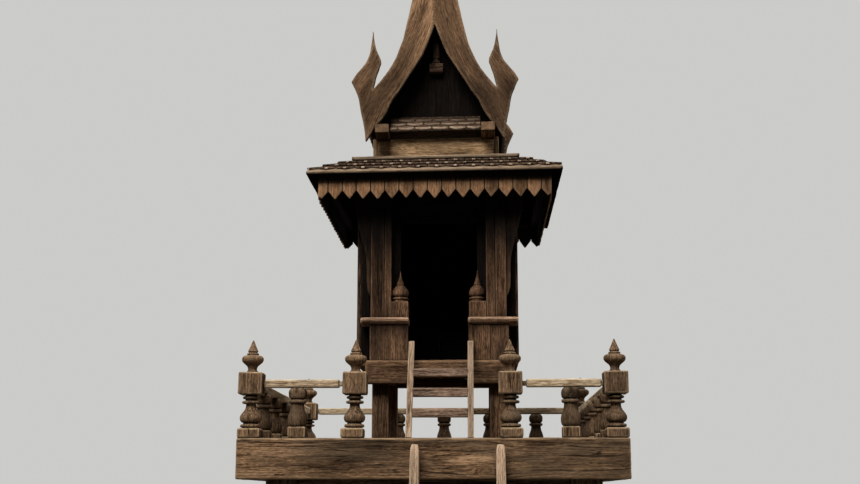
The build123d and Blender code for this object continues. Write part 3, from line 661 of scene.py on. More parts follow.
MAT = {
    "stand": timber("stand_timber", (0.045, 0.026, 0.014), (0.090, 0.054, 0.030), (0.150, 0.094, 0.054), (0.20, 0.13, 0.08), greyness=0.25),
    "deck": timber("deck_timber", (0.034, 0.018, 0.009), (0.088, 0.050, 0.026), (0.180, 0.110, 0.060), (0.34, 0.225, 0.13),
                   grey=(0.20, 0.145, 0.092), greyness=0.3, rings=0.42, blotch=0.4, tones=1.35, fine_scale=2.1, contrast=0.9, fibre=0.75,
                   streaks=0.08, cracks=1.4),
    "turned": timber("turned_timber", (0.034, 0.019, 0.010), (0.100, 0.058, 0.031), (0.215, 0.135, 0.076), (0.50, 0.36, 0.22),
                     greyness=0.2, blotch=0.35, green=0.1, rings=0.12, fine_scale=1.5, fibre=0.75, contrast=0.95, tones=1.0, streaks=0.06,
                     cracks=1.2),
    "rail": timber("rail_timber", (0.180, 0.115, 0.064), (0.395, 0.292, 0.182), (0.550, 0.440, 0.300), (0.62, 0.50, 0.35),
                   grey=(0.42, 0.33, 0.22), greyness=0.3, cracks=0.6, blotch=0.2, dirt_and_shade=0.8, rings=0.2, fine_scale=1.6),
    "ladder": timber("ladder_timber", (0.140, 0.080, 0.046), (0.300, 0.200, 0.126), (0.440, 0.315, 0.215), (0.50, 0.38, 0.27),
                     grey=(0.40, 0.29, 0.2), greyness=0.2, cracks=0.8, blotch=0.25, tones=1.0, dirt_and_shade=0.8, rings=0.2, fine_scale=1.7),
    "rung": timber("rung_timber", (0.060, 0.035, 0.022), (0.155, 0.098, 0.067), (0.250, 0.170, 0.122), (0.31, 0.22, 0.16),
                   grey=(0.24, 0.165, 0.11), greyness=0.2, cracks=0.8, blotch=0.3, dirt_and_shade=0.8, rings=0.2, fine_scale=1.5),
    "base": timber("base_timber", (0.034, 0.018, 0.009), (0.078, 0.042, 0.022), (0.145, 0.084, 0.046), (0.22, 0.135, 0.078), greyness=0.1,
                   rings=0.2, fine_scale=1.5),
    "porch": timber("porch_timber", (0.024, 0.012, 0.006), (0.066, 0.035, 0.019), (0.140, 0.078, 0.044), (0.26, 0.155, 0.09), greyness=0.06,
                    rings=0.1, blotch=0.85, fine_scale=2.1, contrast=0.92, tones=1.2, fibre=0.75),
    "ledge": timber("ledge_timber", (0.115, 0.060, 0.036), (0.275, 0.154, 0.095), (0.440, 0.285, 0.185), (0.62, 0.45, 0.31), greyness=0.22,
                    grey=(0.30, 0.21, 0.14), rings=0.2, fine_scale=1.4),
    "wall": timber("wall_timber", (0.010, 0.0055, 0.003), (0.026, 0.0145, 0.009), (0.062, 0.036, 0.022), (0.10, 0.06, 0.04), greyness=0.05,
                   rings=0.25),
    # the pale frieze colour is partly painted light from a garland hanging in front of it
    "frieze": timber("frieze_timber", (0.115, 0.068, 0.033), (0.290, 0.182, 0.094), (0.500, 0.340, 0.190), (0.50, 0.36, 0.22),
                     greyness=0.1, blotch=0.4, rings=0.1, tones=0.7, streaks=0.1, contrast=0.72, fine_scale=1.6),
    "shingle": timber("roof_shingle", (0.022, 0.012, 0.008), (0.058, 0.034, 0.023), (0.125, 0.078, 0.052), (0.44, 0.33, 0.23),
                      grey=(0.085, 0.055, 0.037), greyness=0.15, tones=0.9, worn_amount=1.15, rings=0.2, sheen=0.0),
    "eave": timber("eave_timber", (0.050, 0.031, 0.018), (0.118, 0.078, 0.048), (0.215, 0.150, 0.098), (0.33, 0.24, 0.165), greyness=0.12,
                   grey=(0.20, 0.14, 0.095), rings=0.2, sheen=0.0),
    "valance": timber("valance_timber", (0.074, 0.037, 0.018), (0.152, 0.080, 0.040), (0.236, 0.131, 0.069), (0.335, 0.205, 0.118),
                      greyness=0.08, cracks=0.5, blotch=0.5, tones=0.8, rings=0.08, contrast=0.95, fine_scale=1.9, fibre=0.6, streaks=0.04),
    "bargeboard": timber("bargeboard_timber", (0.044, 0.023, 0.0118), (0.118, 0.066, 0.035), (0.208, 0.126, 0.071), (0.43, 0.30, 0.19),
                         grey=(0.2, 0.128, 0.075), greyness=0.06, rings=0.06, blotch=0.5, fibre=0.75, fine_scale=2.1, tones=1.4, streaks=0.05, contrast=0.74,
                         worn_amount=0.6, cracks=0.75),
}
SLOT = {"stand": "stand_timber", "deck": "deck_timber", "turned": "turned_timber", "rail": "rail_timber", "ladder": "ladder_timber",
        "rung": "ladder_timber", "base": "base_timber", "porch": "porch_timber", "ledge": "porch_timber", "wall": "wall_timber",
        "frieze": "wall_timber", "shingle": "roof_shingle", "eave": "roof_shingle", "valance": "valance_timber",
        "bargeboard": "bargeboard_timber"}


def done(P, mat, *nodes, slot=None):
    return P.make(MAT[mat], slot or SLOT[mat], *nodes)


# ---------------------------------------------------------------------------
# stand and platform
# ---------------------------------------------------------------------------
P = Piece("stand_posts")
for i, (sx, y) in enumerate([(-1, 60), (-1, 540), (1, 60), (1, 540)]):
    board(P, (sx * 205 - 21, sx * 205 + 21, y - 21, y + 21, G, -12), "z", 100 + i, r=2.4, step=16, across=5, rough=0.5, wear=0.8,
          cracks=[(1, -6 + 3 * i, -380, -120, 1.2), (-1, 5 - 2 * i, 40, 360, 1.2)], cut="post")
done(P, "stand", "stand_legs")
P = Piece("stand_upper_rails")
for i, y in enumerate((60, 540)):
    board(P, (-184, 184, y - 11, y + 11, -90, -12), "x", 110 + i, r=1.5, step=14, across=5, rough=0.35)
for i, x in enumerate((-205, 205)):
    board(P, (x - 11, x + 11, 81, 519, -90, -12), "y", 114 + i, r=1.5, step=14, across=5, rough=0.35)
done(P, "stand", "stand_top_rails")
P = Piece("stand_low_rails")
for i, y in enumerate((60, 540)):
    board(P, (-184, 184, y - 9, y + 9, -740, -706), "x", 120 + i, r=1.5, step=14, across=5, rough=0.35)
for i, x in enumerate((-205, 205)):
    board(P, (x - 9, x + 9, 81, 519, -740, -706), "y", 124 + i, r=1.5, step=14, across=5, rough=0.35)
done(P, "stand", "stand_stretchers")

P = Piece("deck_planks")
for i in range(10):
    y0, y1 = 14.2 + i * 57.2, 14.2 + i * 57.2 + 56.0
    board(P, (-245.6, 245.6, y0, y1, -12, -0.1 - 0.25 * (i % 3)), "x", 130 + i, r=1.2, step=12, across=4.5, rough=0.3, wear=0.5)
done(P, "deck", "deck")
def front_figure(U, V, T, g, M):
    """Flat-sawn figure: a pointed cathedral between the ladder's sides and a small knot to its right."""
    y, z = V + 2.0, T + 31.0
    R = np.hypot(y, z)
    e = np.exp(-((U - 30.0) / 62.0) ** 2)
    k = 0.055 * (U + 18.0) * e
    kn = 7.5 * np.exp(-(((U - 70.0) / 13.0) ** 2 + ((V + 15.0) / 5.0) ** 2))
    sc = (R - k + kn + 3.0 * noise(U * 0.011, V * 0.03, 4.4)) / R
    g[..., 1], g[..., 2] = y * sc, z * sc


def front_stain_and_light(X):
    """Paler at the left, partly stain and partly painted light that falls more strongly there; a dark stain over the
    middle of the top, greyer to the right.
    """
    x, z = X[:, 0], X[:, 2]
    t = np.full(len(X), 0.46)
    t += 0.50 * np.clip((-150 - x) / 40, 0, 1)
    t -= 0.46 * np.exp(-((x + 95) / 66) ** 2) * np.clip((z + 42) / 20, 0, 1)
    t += 0.42 * np.exp(-((x - 30) / 44) ** 2) * np.exp(-((z + 28) / 15) ** 2)
    t -= 0.14 * np.clip((x - 100) / 40, 0, 1)
    t += 0.34 * np.clip((-45 - z) / 7, 0, 1)
    return t + 0.3 * noise(x * 0.02, z * 0.08, 9.1) + 0.25 * noise(x * 0.05, z * 0.3, 4.1)


P = Piece("platform_front_board")
board(P, (-260, 260, 0, 14, -54, 0), "x", 141, r=2.6, er=1.8, step=4.5, across=2.1, rough=0.42, wear=0.7, edge=1.15, tone=front_stain_and_light,
      gwarp=front_figure,
      cracks=[(-1, 20.5, -250, -150, 1.0), (-1, 15.0, -235, -60, 0.7), (-1, -11, -150, -20, 0.8), (-1, 10, -30, 90, 0.8), (-1, 3, 120, 250, 0.8),
              (-1, -17, 130, 257, 0.7)])
done(P, "deck", "deck_front_board")
P = Piece("platform_rear_board")
board(P, (-260, 260, 586, 600, -54, 0), "x", 142, r=2.0, er=1.6, step=8, across=3.2, rough=0.38, wear=0.7,
      cracks=[(1, 8, -200, -40, 0.9), (1, -12, 60, 210, 0.9)])
done(P, "deck", "deck_rear_board")
P = Piece("platform_side_boards")
for i, x in enumerate((-260, 246)):
    board(P, (x, x + 14, 14, 586, -54, 0), "y", 145 + i, r=2.0, er=0.4, step=8, across=3.2, rough=0.38, wear=0.7,
          cracks=[(1, 8, -180, -40, 0.9), (-1, -12, 20, 190, 0.9), (1, -10, 30, 170, 0.8), (-1, 12, -180, -60, 0.8)])
done(P, "deck", "deck_side_boards")

# ---------------------------------------------------------------------------
# balustrade
# ---------------------------------------------------------------------------
NEWEL_LOW = ([(10.4, 12.0), (10.4, 13.9), (12.9, 14.5), (13.5, 15.8), (13.4, 17.4), (12.4, 18.4), (9.8, 18.8), (9.6, 20.6)]
             + smooth([(11.6, 21.0), (13.6, 23.4), (14.4, 26.6), (13.9, 29.6), (12.0, 32.8), (9.2, 36.4), (7.4, 39.8), (6.8, 43.0)], 4)
             + [(6.9, 45.4), (11.0, 46.0), (12.0, 47.0), (12.0, 48.4), (11.1, 49.3), (7.9, 49.7), (7.8, 51.8), (10.4, 52.3), (11.3, 53.3),
                (11.3, 54.7), (10.4, 55.6), (8.2, 56.0), (8.2, 58.2)])
NEWEL_TOP = ([(8.2, 86.6), (7.9, 88.8), (6.6, 90.0), (6.0, 91.6), (6.2, 93.6), (7.0, 95.6)]
             + smooth([(7.8, 96.6), (10.0, 98.6), (12.6, 100.8), (14.3, 103.0), (14.8, 105.4), (14.4, 107.6), (12.6, 109.6), (8.6, 111.0)], 4)
             + [(7.2, 111.3), (7.9, 111.8), (8.2, 112.6), (7.9, 113.6), (6.3, 114.1), (5.9, 114.8), (6.3, 115.5), (7.1, 116.0),
                (6.4, 118.0), (4.7, 121.6), (2.8, 126.2), (1.1, 130.4), (0.4, 131.6)])


def newel(P, x, y, seed, lean=0.0, base=0.0, tone=0.5, low=0.08):
    def tilt(X):
        X = X.copy()
        X[..., 0] += lean * (X[..., 2] - 60.0)
        return X
    board(P, (x - 15.3 + base, x + 15.3 + base, y - 15.3, y + 15.3, 0, 13.2), "z", seed, r=2.2, er=3.0, step=4, across=2.4, rough=0.3, wear=1.0,
          cut="post", mapf=tilt, tone=tone + 0.2)
    # the lower turned part is darker by low: painted shade under the block
    turned(P, x, y, NEWEL_LOW, seed + 1, seg=44, mapf=tilt, tone=tone - low)
    board(P, (x - 16.1, x + 16.1, y - 16.1, y + 16.1, 57.8, 87.6), "z", seed + 2, r=1.9, er=1.8, step=4, across=2.2, rough=0.4, wear=1.1,
          cut="post", cracks=[(-1, 4.5, -13, 6, 0.9), (1, -3, -8, 13, 0.8)], mapf=tilt, tone=tone)
    turned(P, x, y, NEWEL_TOP, seed + 3, seg=44, mapf=tilt, tone=tone)


P = Piece("corner_newel_posts")
# per-newel tones: left newels paler, the right front newel darker, partly painted light from the left
for i, (x, y) in enumerate([(-243.8, 16.2), (243.8, 16.2), (-243.8, 583.8), (243.8, 583.8)]):
    newel(P, x, y, 200 + 10 * i, (0.011, -0.003, 0.004, -0.006)[i], (0.0, 0.6, 0.3, -0.4)[i],
          (0.68, 0.36, 0.55, 0.45)[i], (0.1, 0.26, 0.2, 0.2)[i])
done(P, "turned", "corner_newels")
P = Piece("gate_newel_posts")
# per-newel tones: the right gate newel's lower part darker, partly painted shade
for i, x in enumerate((-104, 104)):
    newel(P, x, 16.2, 250 + 10 * i, (0.012, -0.004)[i], (-2.2, 0.8)[i], (0.65, 0.68)[i], (0.14, 0.34)[i])
done(P, "turned", "gate_newels")

BAL = ([(9.8, 14.4), (9.8, 15.6)]
       + smooth([(10.8, 15.9), (12.4, 18.4), (13.1, 22.4), (12.9, 27.2), (11.7, 32.2), (10.2, 36.4), (9.1, 40.0), (8.6, 43.4)], 4)
       + [(8.6, 45.8), (10.9, 46.4), (11.8, 47.5), (11.9, 49.4), (11.2, 50.6), (8.9, 51.1), (8.7, 52.2)])
CAP = [(8.7, 51.6), (9.8, 52.2)] + smooth([(10.6, 52.8), (11.7, 55.0), (12.1, 58.4), (12.0, 61.2), (11.1, 64.0), (9.1, 66.0)], 4) + [(7.6, 67.0)]


def cap_notch(th, z):
    """A small upright nick in each face of the cap."""
    k = np.clip((z - 56.5) / 4.0, 0, 1)
    d = 0.0
    for c in (0, math.pi / 2, math.pi, -math.pi / 2):
        dd = np.abs((th - c + math.pi) % (2 * math.pi) - math.pi)
        d = d + 1.1 * np.exp(-(dd / 0.16) ** 2)
    return d * k


P = Piece("rail_balusters")
spots = [(-181.0, 16.2), (183.5, 16.2)] + [(s * 243.8, y) for s in (-1, 1) for y in (110.8, 205.4, 300.0, 394.6, 489.2)]
spots += [(x, 583.8) for x in (-163.0, -81.5, 0.0, 81.5, 163.0)]
for i, (x, y) in enumerate(spots):
    board(P, (x - 11.7, x + 11.7, y - 11.7, y + 11.7, 0, 15.0), "z", 300 + 4 * i, r=1.6, er=2.4, step=5, across=3.0, rough=0.25,
          wear=0.8, cut="post", tone=0.6, cracks=[(-1, 0.6, -3, 7.5, 0.8)])
    # the right front baluster and cap darker: painted shade, with light falling from the left
    turned(P, x, y, BAL, 301 + 4 * i, seg=32, tone=0.07 if i == 1 else 0.16)
    turned(P, x, y, CAP, 302 + 4 * i, seg=48, square=lambda z: 0.9, notch=cap_notch, tone=0.1 if i == 1 else 0.24)
done(P, "turned", "balusters")

P = Piece("rails_of_balustrade")


def hand_rail(P, g, a0, a1, c, t0, t1, seed, bow=0.0):
    """Rail along g from a0 to a1 with thinner tenons at the ends, c is its line."""
    def bx(p, q, hw, z0, z1):
        return (p, q, c - hw, c + hw, z0, z1) if g == "x" else (c - hw, c + hw, p, q, z0, z1)
    board(P, bx(a0 + t0, a1 - t1, 6.5, 67.0, 78.0), g, seed, r=1.7, er=1.6, step=8, across=2.2, rough=0.4, wear=0.5, bow=0.0, cut="post",
          tone=0.6)
    board(P, bx(a0 + 0.1, a0 + t0 + 2, 3.5, 69.0, 75.5), g, seed + 1, r=0.6, step=4, across=3, rough=0.15, tight=False)
    board(P, bx(a1 - t1 - 2, a1 - 0.1, 3.5, 69.0, 75.5), g, seed + 2, r=0.6, step=4, across=3, rough=0.15, tight=False)


hand_rail(P, "x", -227.6, -120.2, 16.2, 1.2, 5.0, 400)
hand_rail(P, "x", 120.2, 227.6, 16.2, 5.0, 2.5, 404)
hand_rail(P, "x", -227.6, 227.6, 583.8, 2.5, 2.5, 408)
hand_rail(P, "y", 32.4, 567.6, -243.8, 2.5, 2.5, 412)
hand_rail(P, "y", 32.4, 567.6, 243.8, 2.5, 2.5, 416)
done(P, "rail", "hand_rails")

# ---------------------------------------------------------------------------
# ladders
# ---------------------------------------------------------------------------
GF, GT, GZ = -262.0, -14.0, -9.5
gl_run = GT - GF
gl_half = 10.0 / ((GZ - G) / math.hypot(gl_run, GZ - G))


def gl_y(z):
    return GF + gl_run * (z - G) / (GZ - G)


def lean_ground(X):
    X = X.copy()
    X[..., 1] += gl_y(X[..., 2])
    return X


def taper(n):
    z = G + n * (GZ - G)
    return np.interp(z, [G, -64, -18, -12.5, -10.4, GZ], [1, 1, 0.72, 0.60, 0.42, 0.25])


P = Piece("ground_ladder_sides")
for i, x in enumerate((-22.3, 89.7)):
    board(P, (x - 6.2, x + 6.2, -gl_half, gl_half, G, GZ), "z", 430 + i, r=1.3, er=0.8, step=7, across=2.6, rough=0.3, wear=0.6, cut="post",
          widen=taper, deepen=lambda n: np.interp(G + n * (GZ - G), [-30, -13, GZ], [1, 0.9, 0.6]), mapf=lean_ground, tone=(0.44, 0.37)[i])
done(P, "ladder", "ground_ladder_rails")
P = Piece("ground_ladder_steps")
for i in range(10):
    z = GZ - 78.0 - i * (GZ - 78.0 - G) / 10.35
    yc = gl_y(z)
    board(P, (-16.1, 83.5, yc - 10.5, yc + 10.5, z - 5.5, z + 5.5), "x", 440 + i, r=1.5, er=0.3, step=8, across=2.8, rough=0.3, wear=0.8)
done(P, "rung", "ground_ladder_rungs")

hl_s = 85.0 / 140.0
hl_h = 4.5 * math.hypot(1, hl_s)


def lean_house(X):
    X = X.copy()
    X[..., 1] += 7.0 + X[..., 2] * hl_s
    return X


P = Piece("house_ladder_sides")
for i, x in enumerate((-31.9, 50.7)):
    board(P, (x - 4.1, x + 4.1, -hl_h, hl_h, 0.0, 138.2), "z", 460 + i, r=1.0, er=0.9, step=5, across=2.2, rough=0.25, wear=0.5, cut="post",
          mapf=lean_house, tone=(0.2, 0.0)[i])
done(P, "ladder", "house_ladder_rails")
P = Piece("house_ladder_steps")
for i, (z, h) in enumerate(((91.0, 5.6), (62.6, 5.95), (34.2, 6.2))):
    yc = 7.0 + z * hl_s
    board(P, (-27.8, 46.6, yc - 6, yc + 6, z - h, z + h), "x", 470 + i, r=0.8, er=0.3, step=6, across=2.4, rough=0.28, wear=0.6,
          tone=(0.95, 0.5, 0.85)[i])
done(P, "rung", "house_ladder_rungs")

# ---------------------------------------------------------------------------
# house base and porch
# ---------------------------------------------------------------------------


def indoors(X):
    """Soot and painted shade inside the room."""
    inside = ((X[:, 0] > -106.6) & (X[:, 0] < 112.6) & (X[:, 1] > 130.6) & (X[:, 1] < 337.6) & (X[:, 2] > 112.0))
    return np.where(inside, 0.96, 0.0)


P = Piece("house_posts")
for i, (x, y) in enumerate([(PC - 84, 134), (PC + 84, 134), (PC - 84, 318), (PC + 84, 318)]):
    board(P, (x - 12, x + 12, y - 12, y + 12, 0, 94), "z", 500 + i, r=1.4, step=7, across=3, rough=0.3, wear=0.6, cut="post")
done(P, "base", "house_legs")
P = Piece("porch_beam")
beam = [(-98.5, 80), (-29.4, 80), (-29.4, 89), (51.2, 89), (51.2, 80), (109.5, 80), (109.5, 113), (-98.5, 113)]
plate(P, beam, 100, 118, xz, 0.0, 510, bev=1.3, along=6, across=2.4, rough=0.35, wear=0.6, tone=0.5)
done(P, "base", "house_front_beam")
P = Piece("floor_bearers")
board(P, (PC - 98, PC - 74, 118.2, 328, 94, 107), "y", 520, r=1.0, step=9, across=3)
board(P, (PC + 74, PC + 98, 118.2, 328, 94, 107), "y", 521, r=1.0, step=9, across=3)
board(P, (PC - 104, PC + 104, 330, 348, 93.5, 107), "x", 522, r=1.2, step=9, across=3)
done(P, "base", "house_floor_beams")
P = Piece("floor_planks")
xs = np.linspace(RC - 115, RC + 115, 10)
for i, (a, b) in enumerate(zip(xs, xs[1:])):
    board(P, (a + 0.05, b - 0.05, 118.2, 352, 107, 113), "y", 525 + i, r=0.8, step=12, across=5, soot_and_shade=indoors, tight=False)
done(P, "base", "house_floor")

def dado_tone_and_shade(t0):
    # random tone per board, darker towards the top as painted shade under the ledge
    return lambda X: t0 + 0.34 * noise(X[:, 0] * 0.05, X[:, 2] * 0.05, 4.4) + 0.1 * np.clip((130.0 - X[:, 2]) / 30.0, -1, 1)


def dado_shade(X):
    """Painted shade under the ledge, with blotches of grime."""
    return 0.5 * np.clip((X[:, 2] - 148.0) / 16.0, 0, 1) + 0.25 * np.clip(noise(X[:, 0] * 0.07, X[:, 2] * 0.04, 7.1), 0, 1)


P = Piece("porch_dado_boards")
for i, (a, b) in enumerate([(-92.6, -63.8), (-63.6, -38.0), (48.0, 79.0), (79.2, 105.2)]):
    board(P, (a, b, 101 + 0.3 * (i % 2), 129.9, 113, 164), "z", 540 + i, r=1.0, er=0.5, step=6, across=2.3, rough=0.35, wear=0.5,
          cut="quarter" if i % 2 else "flat", tone=dado_tone_and_shade((0.18, 0.24, 0.58, 0.40)[i]), soot_and_shade=dado_shade)
done(P, "porch", "porch_panels")
P = Piece("porch_ledge_boards")
nose = [(129.9, 164.0), (103.0, 164.0), (98.6, 164.9), (95.6, 166.6), (94.2, 168.2), (93.4, 169.6), (93.2, 171.2), (93.8, 172.6),
        (95.4, 173.4), (129.9, 173.5)]
for i, (a, b) in enumerate([(-106, -37), (47, 119)]):
    def ledge(y, z, t, a=a, b=b, o=3.1 * i):
        d_ = np.minimum(t - a, b - t)
        back = 3.2 * np.clip(1 - d_ / 4.5, 0, 1) ** 2 + 0.5 * noise(t * 0.09, o, 0.3) + 0.35 * noise(t * 0.3, o, 0.9)
        k_ = np.clip((118.0 - y) / 20.0, 0, 1)
        return np.stack([t, y + back * k_, z + 0.35 * noise(t * 0.05, o, 2.2) * k_], -1)
    # the lower part of the nose is darkened through the groove mask: painted shade
    plate(P, nose, a, b, ledge, 0.0, 550 + i, bev=1.2, along=6, across=2.4, rough=0.3, wear=0.7, step=2.0, tone=0.55,
          gfun=lambda a_, b_, t_, rs: grain_of(t_, a_, b_, rs, "flat"), dirt_and_shade=lambda a_, b_, t_: np.clip((167.0 - b_) / 2.6, 0, 0.75))
done(P, "ledge", "porch_ledges")


def post_soot_and_shade(X):
    """Painted shade under the eaves, with some smoke and dirt, on what stands beneath them, heavier towards the top."""
    k = np.clip((X[:, 2] - 206.0) / 116.0, 0, 1)
    return 0.985 * k * k * (3 - 2 * k)


def bracket_soot_and_shade(X):
    # painted shade under the eaves, with some dirt, heavier towards the top
    return 0.45 + 0.5 * np.clip((X[:, 2] - 215.0) / 70.0, 0, 1)


P = Piece("porch_columns")
board(P, (-92.2, -73.0, 104, 129.9, 173.5, 399), "z", 560, r=1.6, er=0.4, step=6, across=2.0, rough=0.45, wear=0.6,
      cracks=[(-1, -4, -100, -20, 0.9), (1, 5, -60, 70, 0.8)], tone=0.32, cut="post", soot_and_shade=post_soot_and_shade)
board(P, (-72.9, -62.5, 105.2, 129.9, 173.5, 399), "z", 561, r=1.5, er=0.4, step=6, across=2.0, rough=0.4, wear=0.6, tone=0.4, cut="post",
      soot_and_shade=post_soot_and_shade)
board(P, (73.5, 86.6, 105.0, 129.9, 173.5, 399), "z", 562, r=1.6, er=0.4, step=6, across=2.0, rough=0.45, wear=0.6, tone=0.46, cut="post",
      soot_and_shade=post_soot_and_shade, cracks=[(-1, -2, -60, 40, 0.8)])
board(P, (86.7, 102.7, 104, 129.9, 173.5, 399), "z", 563, r=1.6, er=0.4, step=6, across=2.0, rough=0.45, wear=0.6, tone=0.62, cut="post",
      soot_and_shade=post_soot_and_shade, cracks=[(-1, 3, -100, -30, 0.9), (1, 5, -60, 70, 0.8)])
done(P, "porch", "porch_posts")
PN = ([(10.3, 197.0), (10.3, 199.5), (9.6, 200.3), (11.2, 201.2), (12.0, 202.2), (11.7, 203.5), (9.6, 204.1), (9.4, 204.8)]
      + smooth([(10.0, 205.2), (11.9, 207.6), (12.4, 210.6), (11.6, 214.2), (9.6, 217.3), (6.7, 220.7)], 5)
      + [(5.6, 221.4), (4.9, 222.1), (5.6, 222.8), (5.0, 224.6), (3.4, 229.0), (1.9, 234.6), (0.8, 240.0), (0.5, 243.0)])


P = Piece("porch_finial_posts")
for i, x in enumerate((-50.1, 61.0)):
    board(P, (x - 12.3, x + 12.3, 116.5 - 12.3, 116.5 + 12.3, 173.5, 197.6), "z", 570 + 5 * i, r=1.2, er=1.0, step=4, across=2.2,
          rough=0.3, wear=0.7, cut="post", tone=0.5)
    turned(P, x, 116.5, PN, 571 + 5 * i, seg=36, tone=0.6)
done(P, "porch", "porch_newels", slot="turned_timber")
P = Piece("porch_eave_brackets")
br = smooth([(0.0, 205.0), (4.5, 214.0), (6.0, 226.0), (6.5, 254.0), (9.0, 272.0), (14.0, 290.0), (19.0, 310.0),
             (23.0, 330.0), (26.0, 350.0), (27.0, 372.0)], 3) + [(27.0, 386.0), (0.0, 399.0)]
plate(P, [(102.7 + x, z) for x, z in br], 108, 118, xz, math.pi / 2, 580, bev=0.9, soot_and_shade=bracket_soot_and_shade)
plate(P, [(-92.2 - x, z) for x, z in br], 108, 118, xz, math.pi / 2, 581, bev=0.9, soot_and_shade=bracket_soot_and_shade)
done(P, "porch", "eave_brackets")

# ---------------------------------------------------------------------------
# room: upright planks
# ---------------------------------------------------------------------------


def wall_soot_and_shade(X):
    """Soot and painted shade indoors, painted shade with some grime up under the eaves, and painted shade all round the
    doorway.
    """
    up = 0.93 * np.clip((X[:, 2] - 230.0) / 110.0, 0, 1)
    door = np.where((X[:, 1] < 131.5) & (np.abs(X[:, 0] - 5.5) < 112), 0.93, 0.0)
    return np.maximum(indoors(X), np.maximum(up, door))


def planks(P, g, a0, a1, n, b0, b1, z0, z1, seed, **kw):
    """n upright planks side by side from a0 to a1 along g, between b0 and b1 the other way."""
    rs = np.random.RandomState(seed)
    w = np.ones(n) + rs.uniform(-0.12, 0.12, n)
    e = a0 + (a1 - a0) * np.concatenate([[0], np.cumsum(w)]) / w.sum()
    for i in range(n):
        bx = (e[i], e[i + 1], b0, b1, z0, z1) if g == "x" else (b0, b1, e[i], e[i + 1], z0, z1)
        board(P, bx, "z", seed + 3 + i, r=1.3, er=0.4, step=12, across=3.2, rough=0.3, wear=0.4, soot_and_shade=wall_soot_and_shade, **kw)
    m = (b0 + b1) / 2
    tongue = (a0 + 1, a1 - 1, m - 1.2, m + 1.2, z0 + 1, z1 - 1) if g == "x" else (m - 1.2, m + 1.2, a0 + 1, a1 - 1, z0 + 1, z1 - 1)
    # the tongue is near black: painted shade seen through the gaps between planks
    board(P, tongue, "z", seed + 50, r=0.3, er=0.3, step=60, across=60, rough=0.05, wear=0.0, soot_and_shade=0.9, tight=False)


P = Piece("front_wall_planks")
planks(P, "x", -114, -50, 3, 130, 138, 113, 409.5, 600)
planks(P, "x", 61, 120, 3, 130, 138, 113, 409.5, 610)
done(P, "wall", "front_wall_sides")
P = Piece("doorway_head_boards")
for i, (a, b) in enumerate([(318, 348.4), (348.5, 379), (379.1, 409.5)]):
    board(P, (-50, 61, 130, 138, a, b), "x", 620 + i, r=1.1, er=0.3, step=9, across=3, rough=0.3, soot_and_shade=wall_soot_and_shade)
done(P, "wall", "front_wall_head")
P = Piece("side_wall_planks")
planks(P, "y", 138, 345, 8, -114, -106, 113, 409.5, 630)
planks(P, "y", 138, 345, 8, 112, 120, 113, 409.5, 645)
done(P, "wall", "side_walls")
P = Piece("rear_wall_planks")
planks(P, "x", -106, 112, 8, 337, 345, 113, 409.5, 660)
done(P, "wall", "rear_wall")

# ---------------------------------------------------------------------------
# skirt roof: boards, shingles, valances, top board
# ---------------------------------------------------------------------------
SX, SY, RUN, Z0, Z1, ST = 182.0, 200.0, 60.0, 380.0, 409.5, 6.5
HS = 250.0                       # middle of the skirt roof, front to back
RISE = (Z1 - Z0) / RUN


def slope(side):
    """mapf for a skirt side: a along the eave, b up the slope in plan, t above the slope (vertical)."""
    def f(a, b, t):
        z = Z0 + b * RISE + t
        if side == "front":
            return np.stack([KC + a, HS - SY + b, z], -1)
        if side == "rear":
            return np.stack([KC - a, HS + SY - b, z], -1)
        if side == "left":
            return np.stack([KC - SX + b, HS - a, z], -1)
        return np.stack([KC + SX - b, HS + a, z], -1)
    return f


for part, sides in (("front_rear", ("front", "rear")), ("sides", ("left", "right"))):
    P = Piece("skirt_roof_boards_" + part)
    for si, s in enumerate(sides):
        half = SX if s in ("front", "rear") else SY
        for i, (b0, b1) in enumerate([(0, 19.9), (20.0, 39.9), (40.0, 60.0)]):
            out = [(-(half - b0), b0), (half - b0, b0), (half - b1, b1), (-(half - b1), b1)]
            # eave boards darker to the right as painted light falling from the left; their undersides are blackened as
            # painted shade under the eaves
            plate(P, out, -ST, -1.6 if i else 0.0, slope(s), 0.0, 700 + 11 * si + i + (40 if part == "sides" else 0), bev=1.2, along=14,
                  across=4, rough=0.3, wear=0.6, step=5,
                  tone=(lambda X: 0.43 - 0.1 * np.clip(X[:, 0] / 170.0, -1, 1) + 0.3 * noise(X[:, 0] * 0.02, X[:, 1] * 0.02, 2.2)) if i == 0 else 0.1,
                  t_soot_and_shade=lambda t: np.clip((-3.9 - t) / 0.9, 0, 1) * 0.97)
    done(P, "eave", "skirt_roof_" + part)


